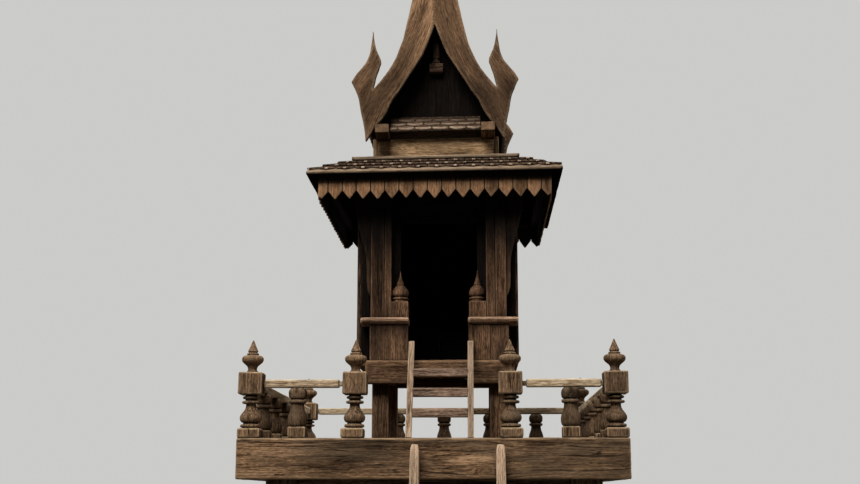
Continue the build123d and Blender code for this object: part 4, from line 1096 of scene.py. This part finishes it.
def shingle(P, mapf, a, b, width, length, seed, lift=2.4, thick=2.6, nib=2.5, tip=8.5, lim=None, tone=None, base=0.0, soot_and_shade=None, nibw=1.0,
            gap=0.35):
    """One shingle with an ogee tip. a, b: middle of its lower tip; it runs up b. lim(a, b) clips it sideways."""
    rs = np.random.RandomState(seed)
    hw = width / 2 - gap
    rows = [(0.0, nib), (1.2, nib + 0.4), (2.6, nib + 2.0), (4.6, 0.62 * hw + 0.4), (6.6, 0.86 * hw), (tip, hw), (length * 0.6, hw), (length, hw)]
    nc = 7
    cols = np.linspace(-1, 1, nc)
    tw = rs.uniform(-0.35, 0.35)
    A, B, T = [], [], []
    for bb, h in rows:
        for c in cols:
            A.append(a + c * h + rs.uniform(-0.12, 0.12))
            B.append(b + bb + rs.uniform(-0.15, 0.15))
            crown = 0.55 * (1 - c * c)
            T.append(base + lift * (1 - bb / length) + tw * c * (1 - bb / length) + crown)
    A, B, T = np.array(A), np.array(B), np.array(T)
    if lim is not None:
        lo, hi = lim(B)
        A = np.clip(A, lo, hi)
        if np.ptp(A) < 3:
            return
    nr = len(rows)
    AA = np.concatenate([A, A])
    BB = np.concatenate([B, B + np.repeat([0.25 if i == 0 else 0 for i in range(nr)], nc)])
    TT = np.concatenate([T, T - thick * np.repeat([1, 1, 1, 1, 1, 1, 0.8, 0.5], nc)])
    faces = []
    k = nr * nc
    for i in range(nr - 1):
        for j in range(nc - 1):
            p = i * nc + j
            faces.append([p, p + 1, p + nc + 1, p + nc])
            faces.append([k + p, k + p + nc, k + p + nc + 1, k + p + 1])
    for j in range(nc - 1):
        faces.append([j, k + j, k + j + 1, j + 1])
        q = (nr - 1) * nc + j
        faces.append([q, q + 1, k + q + 1, k + q])
    for i in range(nr - 1):
        p = i * nc
        faces.append([p, p + nc, k + p + nc, k + p])
        q = i * nc + nc - 1
        faces.append([q, k + q, k + q + nc, q + nc])
    X = mapf(AA, BB, TT)
    g = grain_of(BB - b, AA - a, TT, rs, "flat")
    M = np.zeros((2 * k, 3))
    # tip rows made pale through the edge mask: wear and painted highlight where the tips catch the light
    e = np.zeros((nr, nc))
    e[0, :] = 1.25 * nibw
    e[1, 1:-1] = 0.95 * nibw
    e[2, 2:-2] = 0.15 * nibw
    e[3:6, 0] = e[3:6, -1] = 0.3
    M[:, 0] = np.concatenate([e.ravel(), e.ravel() * 0.6])
    # groove mask rising up the tile towards the overlap: painted shade under the next row, with dirt
    M[:, 1] = np.concatenate([np.repeat([0, 0, 0.1, 0.3, 0.3, 0.3, 0.5, 0.8], nc), np.repeat([0, 0.1, 0.7, 1, 1, 1, 1, 1], nc)])
    P.add(X, faces, g, M, rs.uniform(0.1, 0.9) if tone is None else tone, soot_and_shade)


P = Piece("skirt_roof_shingles")
for si, s in enumerate(("front", "rear", "left", "right")):
    half = SX if s in ("front", "rear") else SY
    f = slope(s)
    W = 26.2
    for row in range(3):
        b0 = 1.0 + 19.3 * row
        n = int(half // W) + 2
        shift = 0.0 if row % 2 == 0 else 0.5
        for i in range(-n, n + 1):
            ac = (i + shift) * W + (3.4 if s == "front" else 0)
            if abs(ac) > half - b0 + 6:
                continue
            shingle(P, f, ac, b0, W, 22.5 if row < 2 else 18.8, 4000 + si * 400 + row * 40 + i + 20, lift=3.4, thick=2.6, nib=2.1, gap=0.5,
                    lim=lambda B, h=half: (-(h - B - 0.4), h - B - 0.4))
done(P, "shingle")

NB = 20.3
for name, nodes, sides in (("valance_boards_front", "valance_front", ("front",)), ("valance_boards_rear", "valance_rear", ("rear",)),
                           ("valance_boards_sides", "valance_sides", ("left", "right"))):
    P = Piece(name)
    for si, s in enumerate(sides):
        half = 167.0 if s in ("front", "rear") else 185.0 - 4.0
        n = int((2 * half) // NB)
        n -= 1 - n % 2
        e = [-half] + [(-n / 2 + i) * NB for i in range(n + 1)] + [half]
        rs = np.random.RandomState(800 + si + len(name))
        for i in range(len(e) - 1):
            a, b = e[i] + 0.4, e[i + 1] - 0.4
            if b - a < 3:
                continue
            m, h = (a + b) / 2, (b - a) / 2
            dz = rs.uniform(-0.7, 0.7)
            up = 1.9 if s == "front" else 0.0
            tip = (338.2 if b - a > 15 else 340.0) + dz + up
            nz = (350.5 + dz if b - a > 15 else 349.0) + up
            if i == 0:
                out = [(a, nz - 6), (a + 0.4 * (b - a), tip), (b, nz), (b, 380), (a, 380)]
            elif i == len(e) - 2:
                out = [(a, nz), (b - 0.4 * (b - a), tip), (b, nz - 6), (b, 380), (a, 380)]
            else:
                q = rs.uniform(-0.09, 0.09) * h
                out = [(a, nz), (m + q - 0.10 * h, tip + 0.5), (m + q + 0.10 * h, tip + 0.5), (b, nz), (b, 380), (a, 380)]
            rot = rs.uniform(-0.006, 0.006)

            def f(A, B, T, s=s, m=m, rot=rot):
                A = A + (B - 365) * rot
                if s == "front":
                    return np.stack([KC + A, HS - 185 + T, B], -1)
                if s == "rear":
                    return np.stack([KC - A, HS + 185 - T, B], -1)
                if s == "left":
                    return np.stack([KC - 167 + T, HS - A, B], -1)
                return np.stack([KC + 167 - T, HS + A, B], -1)
            # front boards darker to the right as painted light falling from the left; the top is blackened as painted
            # shadow of the eave and the back face as painted shade
            plate(P, out, rs.uniform(0, 0.5), 4.0, f, math.pi / 2, 820 + 40 * si + i + 7 * len(name), bev=0.75, along=7,
                  across=3.2, rough=0.2, wear=0.35, step=3.4, tone=rs.uniform(0.28, 0.72) - 0.2 * max(-1.0, min(1.0, m / 100.0)) * (s == "front"),
                  dirt_and_shade=lambda a_, b_, t_: np.clip((b_ - 364) / 16.0, 0, 0.5), soot_and_shade=lambda X: 0.95 * np.clip((X[:, 2] - 361.5) / 7.5, 0, 1),
                  t_soot_and_shade=lambda t: np.clip((t - 0.8) / 2.4, 0, 1) * 0.985)
        # a backing board in near-black painted shade, seen through the joints
        plate(P, [(-half + 1, 352.0), (half - 1, 352.0), (half - 1, 379.5), (-half + 1, 379.5)], 2.8, 4.6,
              lambda A, B, T: f(A, B, T, rot=0.0), 0.0, 890 + si, bev=0.2, along=30, across=12, rough=0.05, wear=0.0, step=12,
              t_soot_and_shade=lambda t: np.full(len(t), 0.96))
    done(P, "valance", nodes)
P = Piece("eave_batten_strips")
bz0, bz1 = 371.5, Z0 - ST + 19 * RISE
# the battens are near black: painted shade under the eaves
for i, (a, b, c, d) in enumerate([(KC - 163, KC + 163, 69, 80), (KC - 163, KC + 163, 420, 431)]):
    board(P, (a, b, c, d, bz0, bz1), "x", 900 + i, r=0.7, step=16, across=5, tight=False, soot_and_shade=0.95)
for i, (a, b) in enumerate([(KC - 163, KC - 152), (KC + 152, KC + 163)]):
    board(P, (a, b, 80.4, 419.6, bz0, bz1), "y", 904 + i, r=0.7, step=16, across=5, tight=False, soot_and_shade=0.95)
done(P, "valance", "eave_battens")

P = Piece("skirt_top_boards")
ox, o0, o1, ixx, i0, i1 = 123.0, -123.0, 163.0, 82.0, -95.0, 95.0
for i, out in enumerate([[(-ox, o0), (ox, o0), (ixx, i0), (-ixx, i0)], [(ox, o1), (-ox, o1), (-ixx, i1), (ixx, i1)],
                         [(-ox, o1), (-ox, o0), (-ixx, i0), (-ixx, i1)], [(ox, o0), (ox, o1), (ixx, i1), (ixx, i0)]]):
    plate(P, out, 409.5, 415.0, lambda a, b, t: np.stack([KC + a, HY + b, t], -1), 0.0 if i < 2 else math.pi / 2, 920 + i, bev=1.0,
          along=9, across=3.2, rough=0.3, wear=0.6, step=5, tone=0.6)
done(P, "eave", "skirt_top_board")

# ---------------------------------------------------------------------------
# frieze, purlins, lean-tos, gable panels
# ---------------------------------------------------------------------------
P = Piece("frieze_boards_front_rear")
for i, (y0, y1, out) in enumerate([(125, 133, -1), (327, 335, 1)]):
    lo = [(KC - 87.2, 415), (KC + 87.2, 415), (KC + 87.2, 443.5), (KC + 67, 443.5), (KC + 67, 446), (KC - 67, 446), (KC - 67, 443.5), (KC - 87.2, 443.5)]
    plate(P, lo, y0 + (0.8 if out < 0 else 0), y1 - (0.8 if out > 0 else 0), xz, 0.0, 940 + i, bev=0.8, along=8, across=2.4, rough=0.35,
          wear=0.4, tone=0.75, knots=[(-38, 436, 3.5)], pith=(455, -30))
    a, b = (y0 + 3, y1) if out < 0 else (y0, y1 - 3)
    # the upper board is darker: painted shade under the lean-to
    board(P, (KC - 66.5, KC + 66.5, a, b, 446, 469), "x", 944 + i, r=0.7, step=9, across=3, tone=0.1, soot_and_shade=0.3)
    for k, sx in enumerate((-1, 1)):
        p, q = sorted((KC + sx * 87.3, KC + sx * 93.0))
        board(P, (p, q, y0, y1, 415, 446), "z", 948 + 2 * i + k, r=1.0, step=6, across=2, rough=0.25, tone=1.2, edge=1.3)
done(P, "frieze", "frieze_front_rear")
P = Piece("frieze_boards_sides")
for i, (a, b) in enumerate([(KC - 93, KC - 85), (KC + 85, KC + 93)]):
    board(P, (a, b, 133, 327, 415, 443.4), "y", 955 + i, r=0.8, step=9, across=3, rough=0.35, cracks=[(1, 3, -70, 40, 0.7), (-1, 3, -70, 40, 0.7)])
done(P, "frieze", "frieze_sides")
P = Piece("purlin_beams")
for i, (a, b) in enumerate([(KC - 87.4, KC - 67), (KC + 67, KC + 87.4)]):
    board(P, (a, b, 82, 378, 443.5, 456.5), "y", 960 + i, r=1.0, er=0.9, step=8, across=2.4, rough=0.35, wear=0.7, cut="post", tone=(0.0, 0.75)[i],
          soot_and_shade=(0.2, 0.0)[i])
done(P, "base", "roof_purlins", slot="wall_timber")

def butt_tile(P, mapf, ac, b0, width, length, seed, lift, thick, lim, tone, face):
    """A small thick shingle whose scalloped butt is seen end on."""
    rs = np.random.RandomState(seed)
    hw = width / 2 - 0.25
    cols = np.linspace(-1, 1, 13)
    dip = 3.4 * np.abs(cols) ** 1.5
    rows = [0.0, 0.9, 2.4, length * 0.6, length]
    A, B, T = [], [], []
    for bb in rows:
        for c, d_ in zip(cols, dip):
            A.append(ac + c * hw)
            B.append(b0 + bb + d_ * max(0.0, 1 - bb / (0.6 * length)) + rs.uniform(-0.1, 0.1))
            T.append(lift * (1 - 1.6 * bb / length) + 1.7 * (1 - c * c) * (1 - 0.6 * bb / length) + rs.uniform(-0.08, 0.08))
    A, B, T = np.array(A), np.array(B), np.array(T)
    A = np.clip(A, *lim)
    if np.ptp(A) < 3:
        return
    nc, nr = len(cols), len(rows)
    k = nr * nc
    AA, BB, TT = np.concatenate([A, A]), np.concatenate([B, B - 1.3]), np.concatenate([T, T - thick])
    faces = []
    for i in range(nr - 1):
        for j in range(nc - 1):
            q = i * nc + j
            faces += [[q, q + 1, q + nc + 1, q + nc], [k + q, k + q + nc, k + q + nc + 1, k + q + 1]]
    for j in range(nc - 1):
        q = (nr - 1) * nc + j
        faces += [[j, k + j, k + j + 1, j + 1], [q, q + 1, k + q + 1, k + q]]
    for i in range(nr - 1):
        q, r_ = i * nc, i * nc + nc - 1
        faces += [[q, q + nc, k + q + nc, k + q], [r_, k + r_, k + r_ + nc, r_ + nc]]
    M = np.zeros((2 * k, 3))
    e = np.zeros((nr, nc))
    e[0], e[1] = face, 0.6 * face
    e[0, [0, -1]] *= 0.4
    M[:, 0] = np.concatenate([e.ravel(), 1.1 * e.ravel()])
    P.add(mapf(AA, BB, TT), faces, grain_of(AA - ac, BB - b0, TT, rs, "flat"), M, tone)


P = Piece("gable_lean_to")
for front in (True, False):
    def fy(y):
        return y if front else 2 * HY - y
    sec = [(106.6, 451.0), (106.6, 454.0), (123.5, 476.8), (125.9, 479.0), (125.9, 469.0), (127.8, 468.0), (127.8, 461.5), (111.0, 451.0)]
    # the lean-to board is darkened: painted shade under the tiles
    plate(P, sec, KC - 66.4, KC + 66.4, lambda a, b, t: np.stack([t, fy(a), b], -1), 0.9, 970 + int(front), bev=0.5, along=5, across=3,
          rough=0.1, tone=0.15, soot_and_shade=0.3)

    def up_pent(a, b, t):
        # b runs up the slope from the lower edge, t stands off it
        ln = math.hypot(18.0, 24.0)
        dy, dz = 18.0 / ln, 24.0 / ln
        return np.stack([KC + a, fy(106.0 + b * dy - t * dz), 453.2 + b * dz + t * dy], -1)
    for row in range(3):
        b0 = 0.4 + 9.3 * row
        for i in range(-3, 4):
            ac = (i + (0.5 if row % 2 else 0.0)) * 25.4 + (7.5 if front else 0)
            if abs(ac) > 66.4 + 6:
                continue
            # butts of the lower rows pale and the top row dark: painted highlight and painted shade
            butt_tile(P, up_pent, ac, b0, 25.4, 13.5 if row < 2 else 11.0, 5000 + 50 * row + i + (200 if front else 0), 1.6, 5.6,
                      (-66.3, 66.3), (0.75, 0.6, 0.2)[row], (1.15, 0.98, 0.4)[row])
done(P, "shingle", "gable_pents")

UND = smooth([(0.0, 664.0), (7.0, 632.0), (16.0, 598.0), (27.5, 568.0), (41.5, 540.0), (57.0, 515.0), (74.0, 491.5),
              (90.0, 471.5), (99.0, 462.0)], 3)


def und_x(z):
    for (x0, z0), (x1, z1) in zip(UND, UND[1:]):
        if z1 <= z <= z0:
            return x0 + (x1 - x0) * (z0 - z) / (z0 - z1)
    return 0.0


P = Piece("gable_wall_panels")
zs = [469, 480, 500, 520, 540, 560, 580, 600, 620, 640, 655]
gp = [(und_x(z) - 0.7, z) for z in zs]
panel = [(KC + x, z) for x, z in gp] + [(KC - x, z) for x, z in gp[::-1]]
POST = [(5.6, 558.2), (6.4, 559.4), (6.4, 561.6), (5.4, 562.8), (4.2, 564.6), (4.2, 566.4), (5.2, 567.4), (5.6, 568.8), (5.4, 570.2), (4.8, 571.2),
        (5.4, 573.6), (5.6, 578.0), (5.5, 583.0), (5.0, 587.0), (4.2, 588.0), (5.0, 589.2), (5.0, 590.8), (4.0, 592.0), (3.2, 595.0), (2.4, 597.0)]
for i, (y0, y1, yk0, yk1) in enumerate([(126, 133, 114, 126), (327, 334, 334, 346)]):
    # the panels are near black: painted shade under the gable roof
    plate(P, panel, y0, y1, xz, math.pi / 2, 980 + i, bev=0.5, along=9, across=4, rough=0.3, tone=0.0, soot_and_shade=0.9)
    board(P, (KC - 9, KC + 11.3, yk0, yk1, 544.5, 558.5), "x", 984 + i, r=1.0, er=0.8, step=4, across=2.4, tone=0.6)
    turned(P, KC + 1, (yk0 + yk1) / 2 + (0.4 if i == 0 else -0.4), POST, 986 + i, seg=28, tone=0.6)
done(P, "wall", "gable_panels")

# ---------------------------------------------------------------------------
# gable roof: long boards, shingles, ridge cap
# ---------------------------------------------------------------------------
TOP = smooth([(0.0, 702.0), (7.0, 672.0), (15.5, 634.0), (25.0, 600.0), (37.0, 568.0), (51.0, 541.0), (67.0, 516.5),
              (84.0, 494.0), (100.0, 476.0), (106.0, 470.0)], 6)
top = np.array(TOP)
tl = np.concatenate([[0], np.cumsum(np.hypot(*np.diff(top, axis=0).T))])
und = np.array(UND)
TLEN = tl[-1]


def on_top(s):
    """Point and outward normal of the right slope at s mm down from the ridge."""
    x, z = np.interp(s, tl, top[:, 0]), np.interp(s, tl, top[:, 1])
    x1, z1 = np.interp(s + 1.5, tl, top[:, 0]), np.interp(s + 1.5, tl, top[:, 1])
    x0_, z0_ = np.interp(s - 1.5, tl, top[:, 0]), np.interp(s - 1.5, tl, top[:, 1])
    dx, dz = x1 - x0_, z1 - z0_
    n = np.hypot(dx, dz)
    return x, z, -dz / n, dx / n


for side, name in ((-1, "left"), (1, "right")):
    P = Piece("gable_roof_boards_" + name)
    cuts = np.linspace(0, TLEN, 13)
    uf = np.linspace(0, 1, len(und))
    for i in range(12):
        ss = np.linspace(cuts[i] + 0.1, cuts[i + 1] - 0.1, 4)
        outer_, inner_ = [], []
        for s_ in ss:
            x, z, nx, nz = on_top(s_)
            f_ = s_ / TLEN
            xi = np.interp(f_, uf, und[:, 0])
            zi = np.interp(f_, uf, und[:, 1])
            outer_.append((KC + side * max(x - nx * 2.2, 0.1), z - nz * 2.2 if x - nx * 2.2 > 0 else z - 6))
            inner_.append((KC + side * max(xi, 0.1), zi))
        plate(P, outer_ + inner_[::-1], 93.2, 366.8, xz, 0.6, 1000 + 20 * side + i, bev=0.4, along=9, across=5, step=5, rough=0.05, wear=0.1,
              tone=0.3, gfun=lambda a, b, t, rs: grain_of(t, a, b, rs, "flat"))
    done(P, "wall", "gable_roof_" + name, slot="roof_shingle")

    P = Piece("gable_roof_shingles_" + name)

    def on_slope(a, b, t):
        s_ = TLEN - b
        x, z, nx, nz = on_top(s_)
        return np.stack([KC + side * (x + nx * t), HY + a, z + nz * t], -1)
    W = 273.4 / 11
    rows_ = 13
    exp_ = (TLEN - 14.0) / rows_
    for row in range(rows_):
        b0 = 0.6 + exp_ * row
        for i in range(-6, 7):
            ac = (i + (0.5 if row % 2 else 0.0)) * W
            if abs(ac) > 136.7 + 0.3 * W:
                continue
            shingle(P, on_slope, ac, b0, W, exp_ + 5.0, 6000 + row * 40 + i + 800 * (side + 1), lift=1.2, thick=2.6,
                    lim=lambda B: (-136.6, 136.6), base=-0.6)
    done(P, "shingle")

P = Piece("ridge_cap_board")
capo = [(KC - 9.4, 679), (KC - 5.0, 703), (KC - 2.6, 711), (KC + 2.6, 711), (KC + 5.0, 703), (KC + 9.4, 679),
        (KC + 4.2, 682), (KC + 0.6, 700), (KC - 0.6, 700), (KC - 4.2, 682)]
plate(P, capo, 93.2, 366.8, xz, 0.6, 1100, bev=0.6, along=6, across=3, step=4, rough=0.1,
      gfun=lambda a, b, t, rs: grain_of(t, a, b, rs, "flat"))
done(P, "eave", "ridge_cap")

# ---------------------------------------------------------------------------
# bargeboards: two halves that meet at the middle, grain along each slope
# ---------------------------------------------------------------------------
outer = smooth([(0.6, 778.0), (3.2, 757.0), (8.0, 731.0), (15.0, 703.0), (24.0, 676.0), (33.6, 648.0), (40.2, 618.5),
                (47.0, 588.0), (56.0, 562.5), (66.6, 541.6), (79.7, 523.4), (90.4, 510.5)], 6)
flame_in = smooth([(90.4, 510.5), (86.3, 528.7), (81.8, 543.3), (79.4, 554.1), (85.6, 569.1), (89.2, 584.0), (91.2, 599.6)], 6)
flame_out = smooth([(91.8, 599.6), (92.9, 587.4), (94.7, 574.5), (96.8, 563.6), (101.1, 552.8), (107.7, 543.6),
                    (116.0, 533.4), (122.7, 522.2)], 5)
low = smooth([(122.7, 522.2), (117.6, 511.0), (112.5, 497.5), (108.8, 477.6), (105.6, 462.4), (103.0, 447.2), (101.4, 432.5)], 6)
inner = smooth([(100.2, 432.0), (94.5, 441.0), (88.6, 450.5), (79.5, 461.5), (70.5, 476.0), (63.0, 492.5), (51.4, 509.0),
                (31.6, 541.0), (20.0, 559.5), (14.6, 570.8), (7.0, 589.5), (0.0, 609.0)], 6)


def purlin_notch(line):
    """The inner edge steps round the purlin, 67 to 87.4 by 443.5 to 456.5."""
    out = []
    done_ = False
    for p, q in zip(line, line[1:]):
        x, z = p
        inside = 67.0 < x < 87.4 and 443.5 < z < 456.5
        if not inside:
            out.append(p)
        qx, qz = q
        q_in = 67.0 < qx < 87.4 and 443.5 < qz < 456.5
        if q_in and not inside and not done_:
            t = (87.4 - x) / (qx - x) if qx < 87.4 < x else 0.0
            zc = z + (qz - z) * t
            out.append((87.4, zc))
            out.append((87.4, 456.5))
            done_ = True
        if inside and not q_in:
            t = (456.5 - z) / (qz - z)
            out.append((x + (qx - x) * t, 456.5))
    out.append(line[-1])
    return out


inner_n = purlin_notch(inner)
half_out = outer + flame_in[1:] + flame_out + low[1:] + inner_n
clean = [half_out[0]]
for p in half_out[1:]:
    if math.dist(p, clean[-1]) > 0.35:
        clean.append(p)
half_out = clean

# the grain follows the slope: steep at the top, flatter towards the foot
axis_ = np.array([(0.0, 700.0), (18.0, 640.0), (36.0, 590.0), (60.0, 540.0), (84.0, 500.0), (104.0, 440.0)])


LINE = smooth([(0.0, 790.0), (6.0, 735.0), (12.0, 690.0), (22.0, 640.0), (37.0, 590.0), (59.0, 540.0), (86.0, 500.0), (104.0, 462.0), (112.0, 425.0)], 6)
line_ = np.array(LINE)
line_s = np.concatenate([[0], np.cumsum(np.hypot(*np.diff(line_, axis=0).T))])


def slope_grain(a, b, t, rs):
    """Along and across the curved middle line of each side; each flame is cut from the same board."""
    sx = np.where(a < KC, -1.0, 1.0)
    x = np.abs(a - KC)
    d = np.hypot(x[:, None] - line_[None, :, 0], b[:, None] - line_[None, :, 1])
    k = np.argmin(d, 1)
    k1 = np.minimum(k + 1, len(line_) - 1)
    k0 = np.maximum(k - 1, 0)
    tx, tz = line_[k1, 0] - line_[k0, 0], line_[k1, 1] - line_[k0, 1]
    n_ = np.hypot(tx, tz)
    tx, tz = tx / n_, tz / n_
    dx, dz = x - line_[k, 0], b - line_[k, 1]
    u = line_s[k] + dx * tx + dz * tz
    v = dx * tz - dz * tx
    return grain_of(u, sx * v + 37.0 * sx, t, rs, "flat", (rs.uniform(-6, 6), rs.uniform(55, 80)))


def bargeboard_tone_and_shade(X):
    """Paler towards the apex, darker towards the feet and darkest at the right foot: painted shade, over a tone that
    varies at random.
    """
    lo = np.where(X[:, 0] < KC, 0.3, 0.0)
    t = lo + (0.92 - lo) * np.clip((X[:, 2] - 500) / 110.0, 0, 1)
    return t + 0.25 * noise(X[:, 0] * 0.03, X[:, 2] * 0.02, 3.3)


for name, node_, y0, y1 in (("front_bargeboards", "bargeboard_front", 85.0, 93.0), ("rear_bargeboards", "bargeboard_rear", 367.0, 375.0)):
    P = Piece(name)
    out = [(KC + x, z) for x, z in half_out] + [(KC - x, z) for x, z in half_out[-2::-1]]
    plate(P, out, y0, y1, xz, math.pi / 2, 1200 + int(y0), bev=1.1, along=5.0, across=2.3, rough=0.4, wear=0.55, step=2.4,
          gfun=slope_grain, edge=0.9, tone=bargeboard_tone_and_shade)
    done(P, "bargeboard", node_)

# ---------------------------------------------------------------------------
# floor, light, camera
# ---------------------------------------------------------------------------
fm = bpy.data.materials.new("studio_floor")
N = Nodes(fm)
s = N.new("ShaderNodeBsdfPrincipled")
tc = N.new("ShaderNodeTexCoord")
fl = N.ramp(N.noise(tc.outputs["Object"], 4.0, 0.6, scale=1.3), [(0.3, (0.46, 0.455, 0.44)), (0.7, (0.51, 0.505, 0.49))])
seen = N.new("ShaderNodeLightPath")
N.put(s.inputs["Base Color"], N.mix(seen.outputs["Is Diffuse Ray"], fl, (0.14, 0.135, 0.125, 1.0)))
s.inputs["Roughness"].default_value = 0.85
s.inputs["Specular IOR Level"].default_value = 0.2
glow = N.new("ShaderNodeEmission")
glow.inputs["Color"].default_value = (0.58, 0.578, 0.563, 1.0)
half_ = N.new("ShaderNodeMixShader")
far = N.new("ShaderNodeVectorMath", operation="LENGTH")
N.put(far.inputs[0], tc.outputs["Object"])
N.put(half_.inputs[0], N.math("MULTIPLY", seen.outputs["Is Camera Ray"], N.span(far.outputs["Value"], 1.2, 5.0, 0.62, 1.0)))
N.put(half_.inputs[1], s.outputs[0])
N.put(half_.inputs[2], glow.outputs[0])
out = N.new("ShaderNodeOutputMaterial")
N.put(out.inputs[0], half_.outputs[0])
me = bpy.data.meshes.new("studio_floor")
k = 96
ringv = [(14 * math.cos(2 * math.pi * i / k), 14 * math.sin(2 * math.pi * i / k), 0.0) for i in range(k)]
me.from_pydata(ringv, [], [list(range(k))])
me.materials.append(fm)
floor = bpy.data.objects.new("studio_floor", me)
bpy.context.scene.collection.objects.link(floor)


def lamp(name, loc, aim, size, power, colour=(1, 1, 1)):
    d = bpy.data.lights.new(name, "AREA")
    d.shape = "RECTANGLE"
    d.size, d.size_y = size
    d.energy = power
    d.color = colour
    o = bpy.data.objects.new(name, d)
    o.location = loc
    o.rotation_mode = "QUATERNION"
    o.rotation_quaternion = (Vector(aim) - Vector(loc)).to_track_quat("-Z", "Y")
    bpy.context.scene.collection.objects.link(o)
    return o


lamp("key", (-0.9, -3.0, 3.95), (0, -0.05, 1.3), (2.2, 1.5), 225, (1.0, 0.98, 0.95))
lamp("top", (0.1, -0.3, 4.6), (0, 0, 1.2), (1.7, 1.7), 62, (1.0, 0.985, 0.96))
lamp("side", (2.9, -0.9, 3.2), (0, 0, 1.3), (1.8, 1.8), 20, (1.0, 0.985, 0.96))
lamp("back", (0.6, 3.0, 4.0), (0, 0, 1.2), (2.4, 1.8), 75, (1.0, 0.98, 0.96))
lamp("back_left", (-3.0, 1.5, 2.6), (0, 0, 1.2), (1.8, 1.8), 46, (1.0, 0.985, 0.96))
lamp("back_right", (3.0, 1.5, 2.6), (0, 0, 1.2), (1.8, 1.8), 46, (1.0, 0.985, 0.96))

w = bpy.data.worlds.new("studio")
bpy.context.scene.world = w
w.use_nodes = True
wt = w.node_tree
wt.nodes.clear()
lp = wt.nodes.new("ShaderNodeLightPath")
b1 = wt.nodes.new("ShaderNodeBackground")
b1.inputs[0].default_value = (0.90, 0.92, 0.95, 1)
b1.inputs[1].default_value = 0.07
b2 = wt.nodes.new("ShaderNodeBackground")
b2.inputs[0].default_value = (0.60, 0.60, 0.585, 1)
b2.inputs[1].default_value = 1.0
mx = wt.nodes.new("ShaderNodeMixShader")
wo = wt.nodes.new("ShaderNodeOutputWorld")
wt.links.new(lp.outputs["Is Camera Ray"], mx.inputs[0])
wt.links.new(b1.outputs[0], mx.inputs[1])
wt.links.new(b2.outputs[0], mx.inputs[2])
wt.links.new(mx.outputs[0], wo.inputs[0])

# camera: a little below the platform, looking up, as the photograph is taken
cam_data = bpy.data.cameras.new("view")
cam = bpy.data.objects.new("view", cam_data)
bpy.context.scene.collection.objects.link(cam)
cam_data.sensor_width = 36.0
cam_data.lens = 36.0 * 1250.0 / 860.0
cam_data.clip_start, cam_data.clip_end = 0.05, 60.0
yaw, pitch = 0.0385, 0.1998
fwd = Vector((-math.sin(yaw) * math.cos(pitch), math.cos(yaw) * math.cos(pitch), math.sin(pitch)))
right = Vector((math.cos(yaw), math.sin(yaw), 0.0))
up = right.cross(fwd)
cam.matrix_world = Matrix((
    (right.x, up.x, -fwd.x, 0.0612),
    (right.y, up.y, -fwd.y, (-1663.0 - YM) / 1000.0),
    (right.z, up.z, -fwd.z, 0.9257),
    (0, 0, 0, 1)))
bpy.context.scene.camera = cam
bpy.context.scene.view_settings.view_transform = "Standard"

tris = {}
for o in bpy.data.objects:
    if o.type == "MESH" and o.name not in frame["nodes"] and o.name != "studio_floor":
        tris[o.name] = sum(len(p.vertices) - 2 for p in o.data.polygons)
print("triangles", sum(tris.values()), "largest", sorted(tris.items(), key=lambda q: -q[1])[:6])
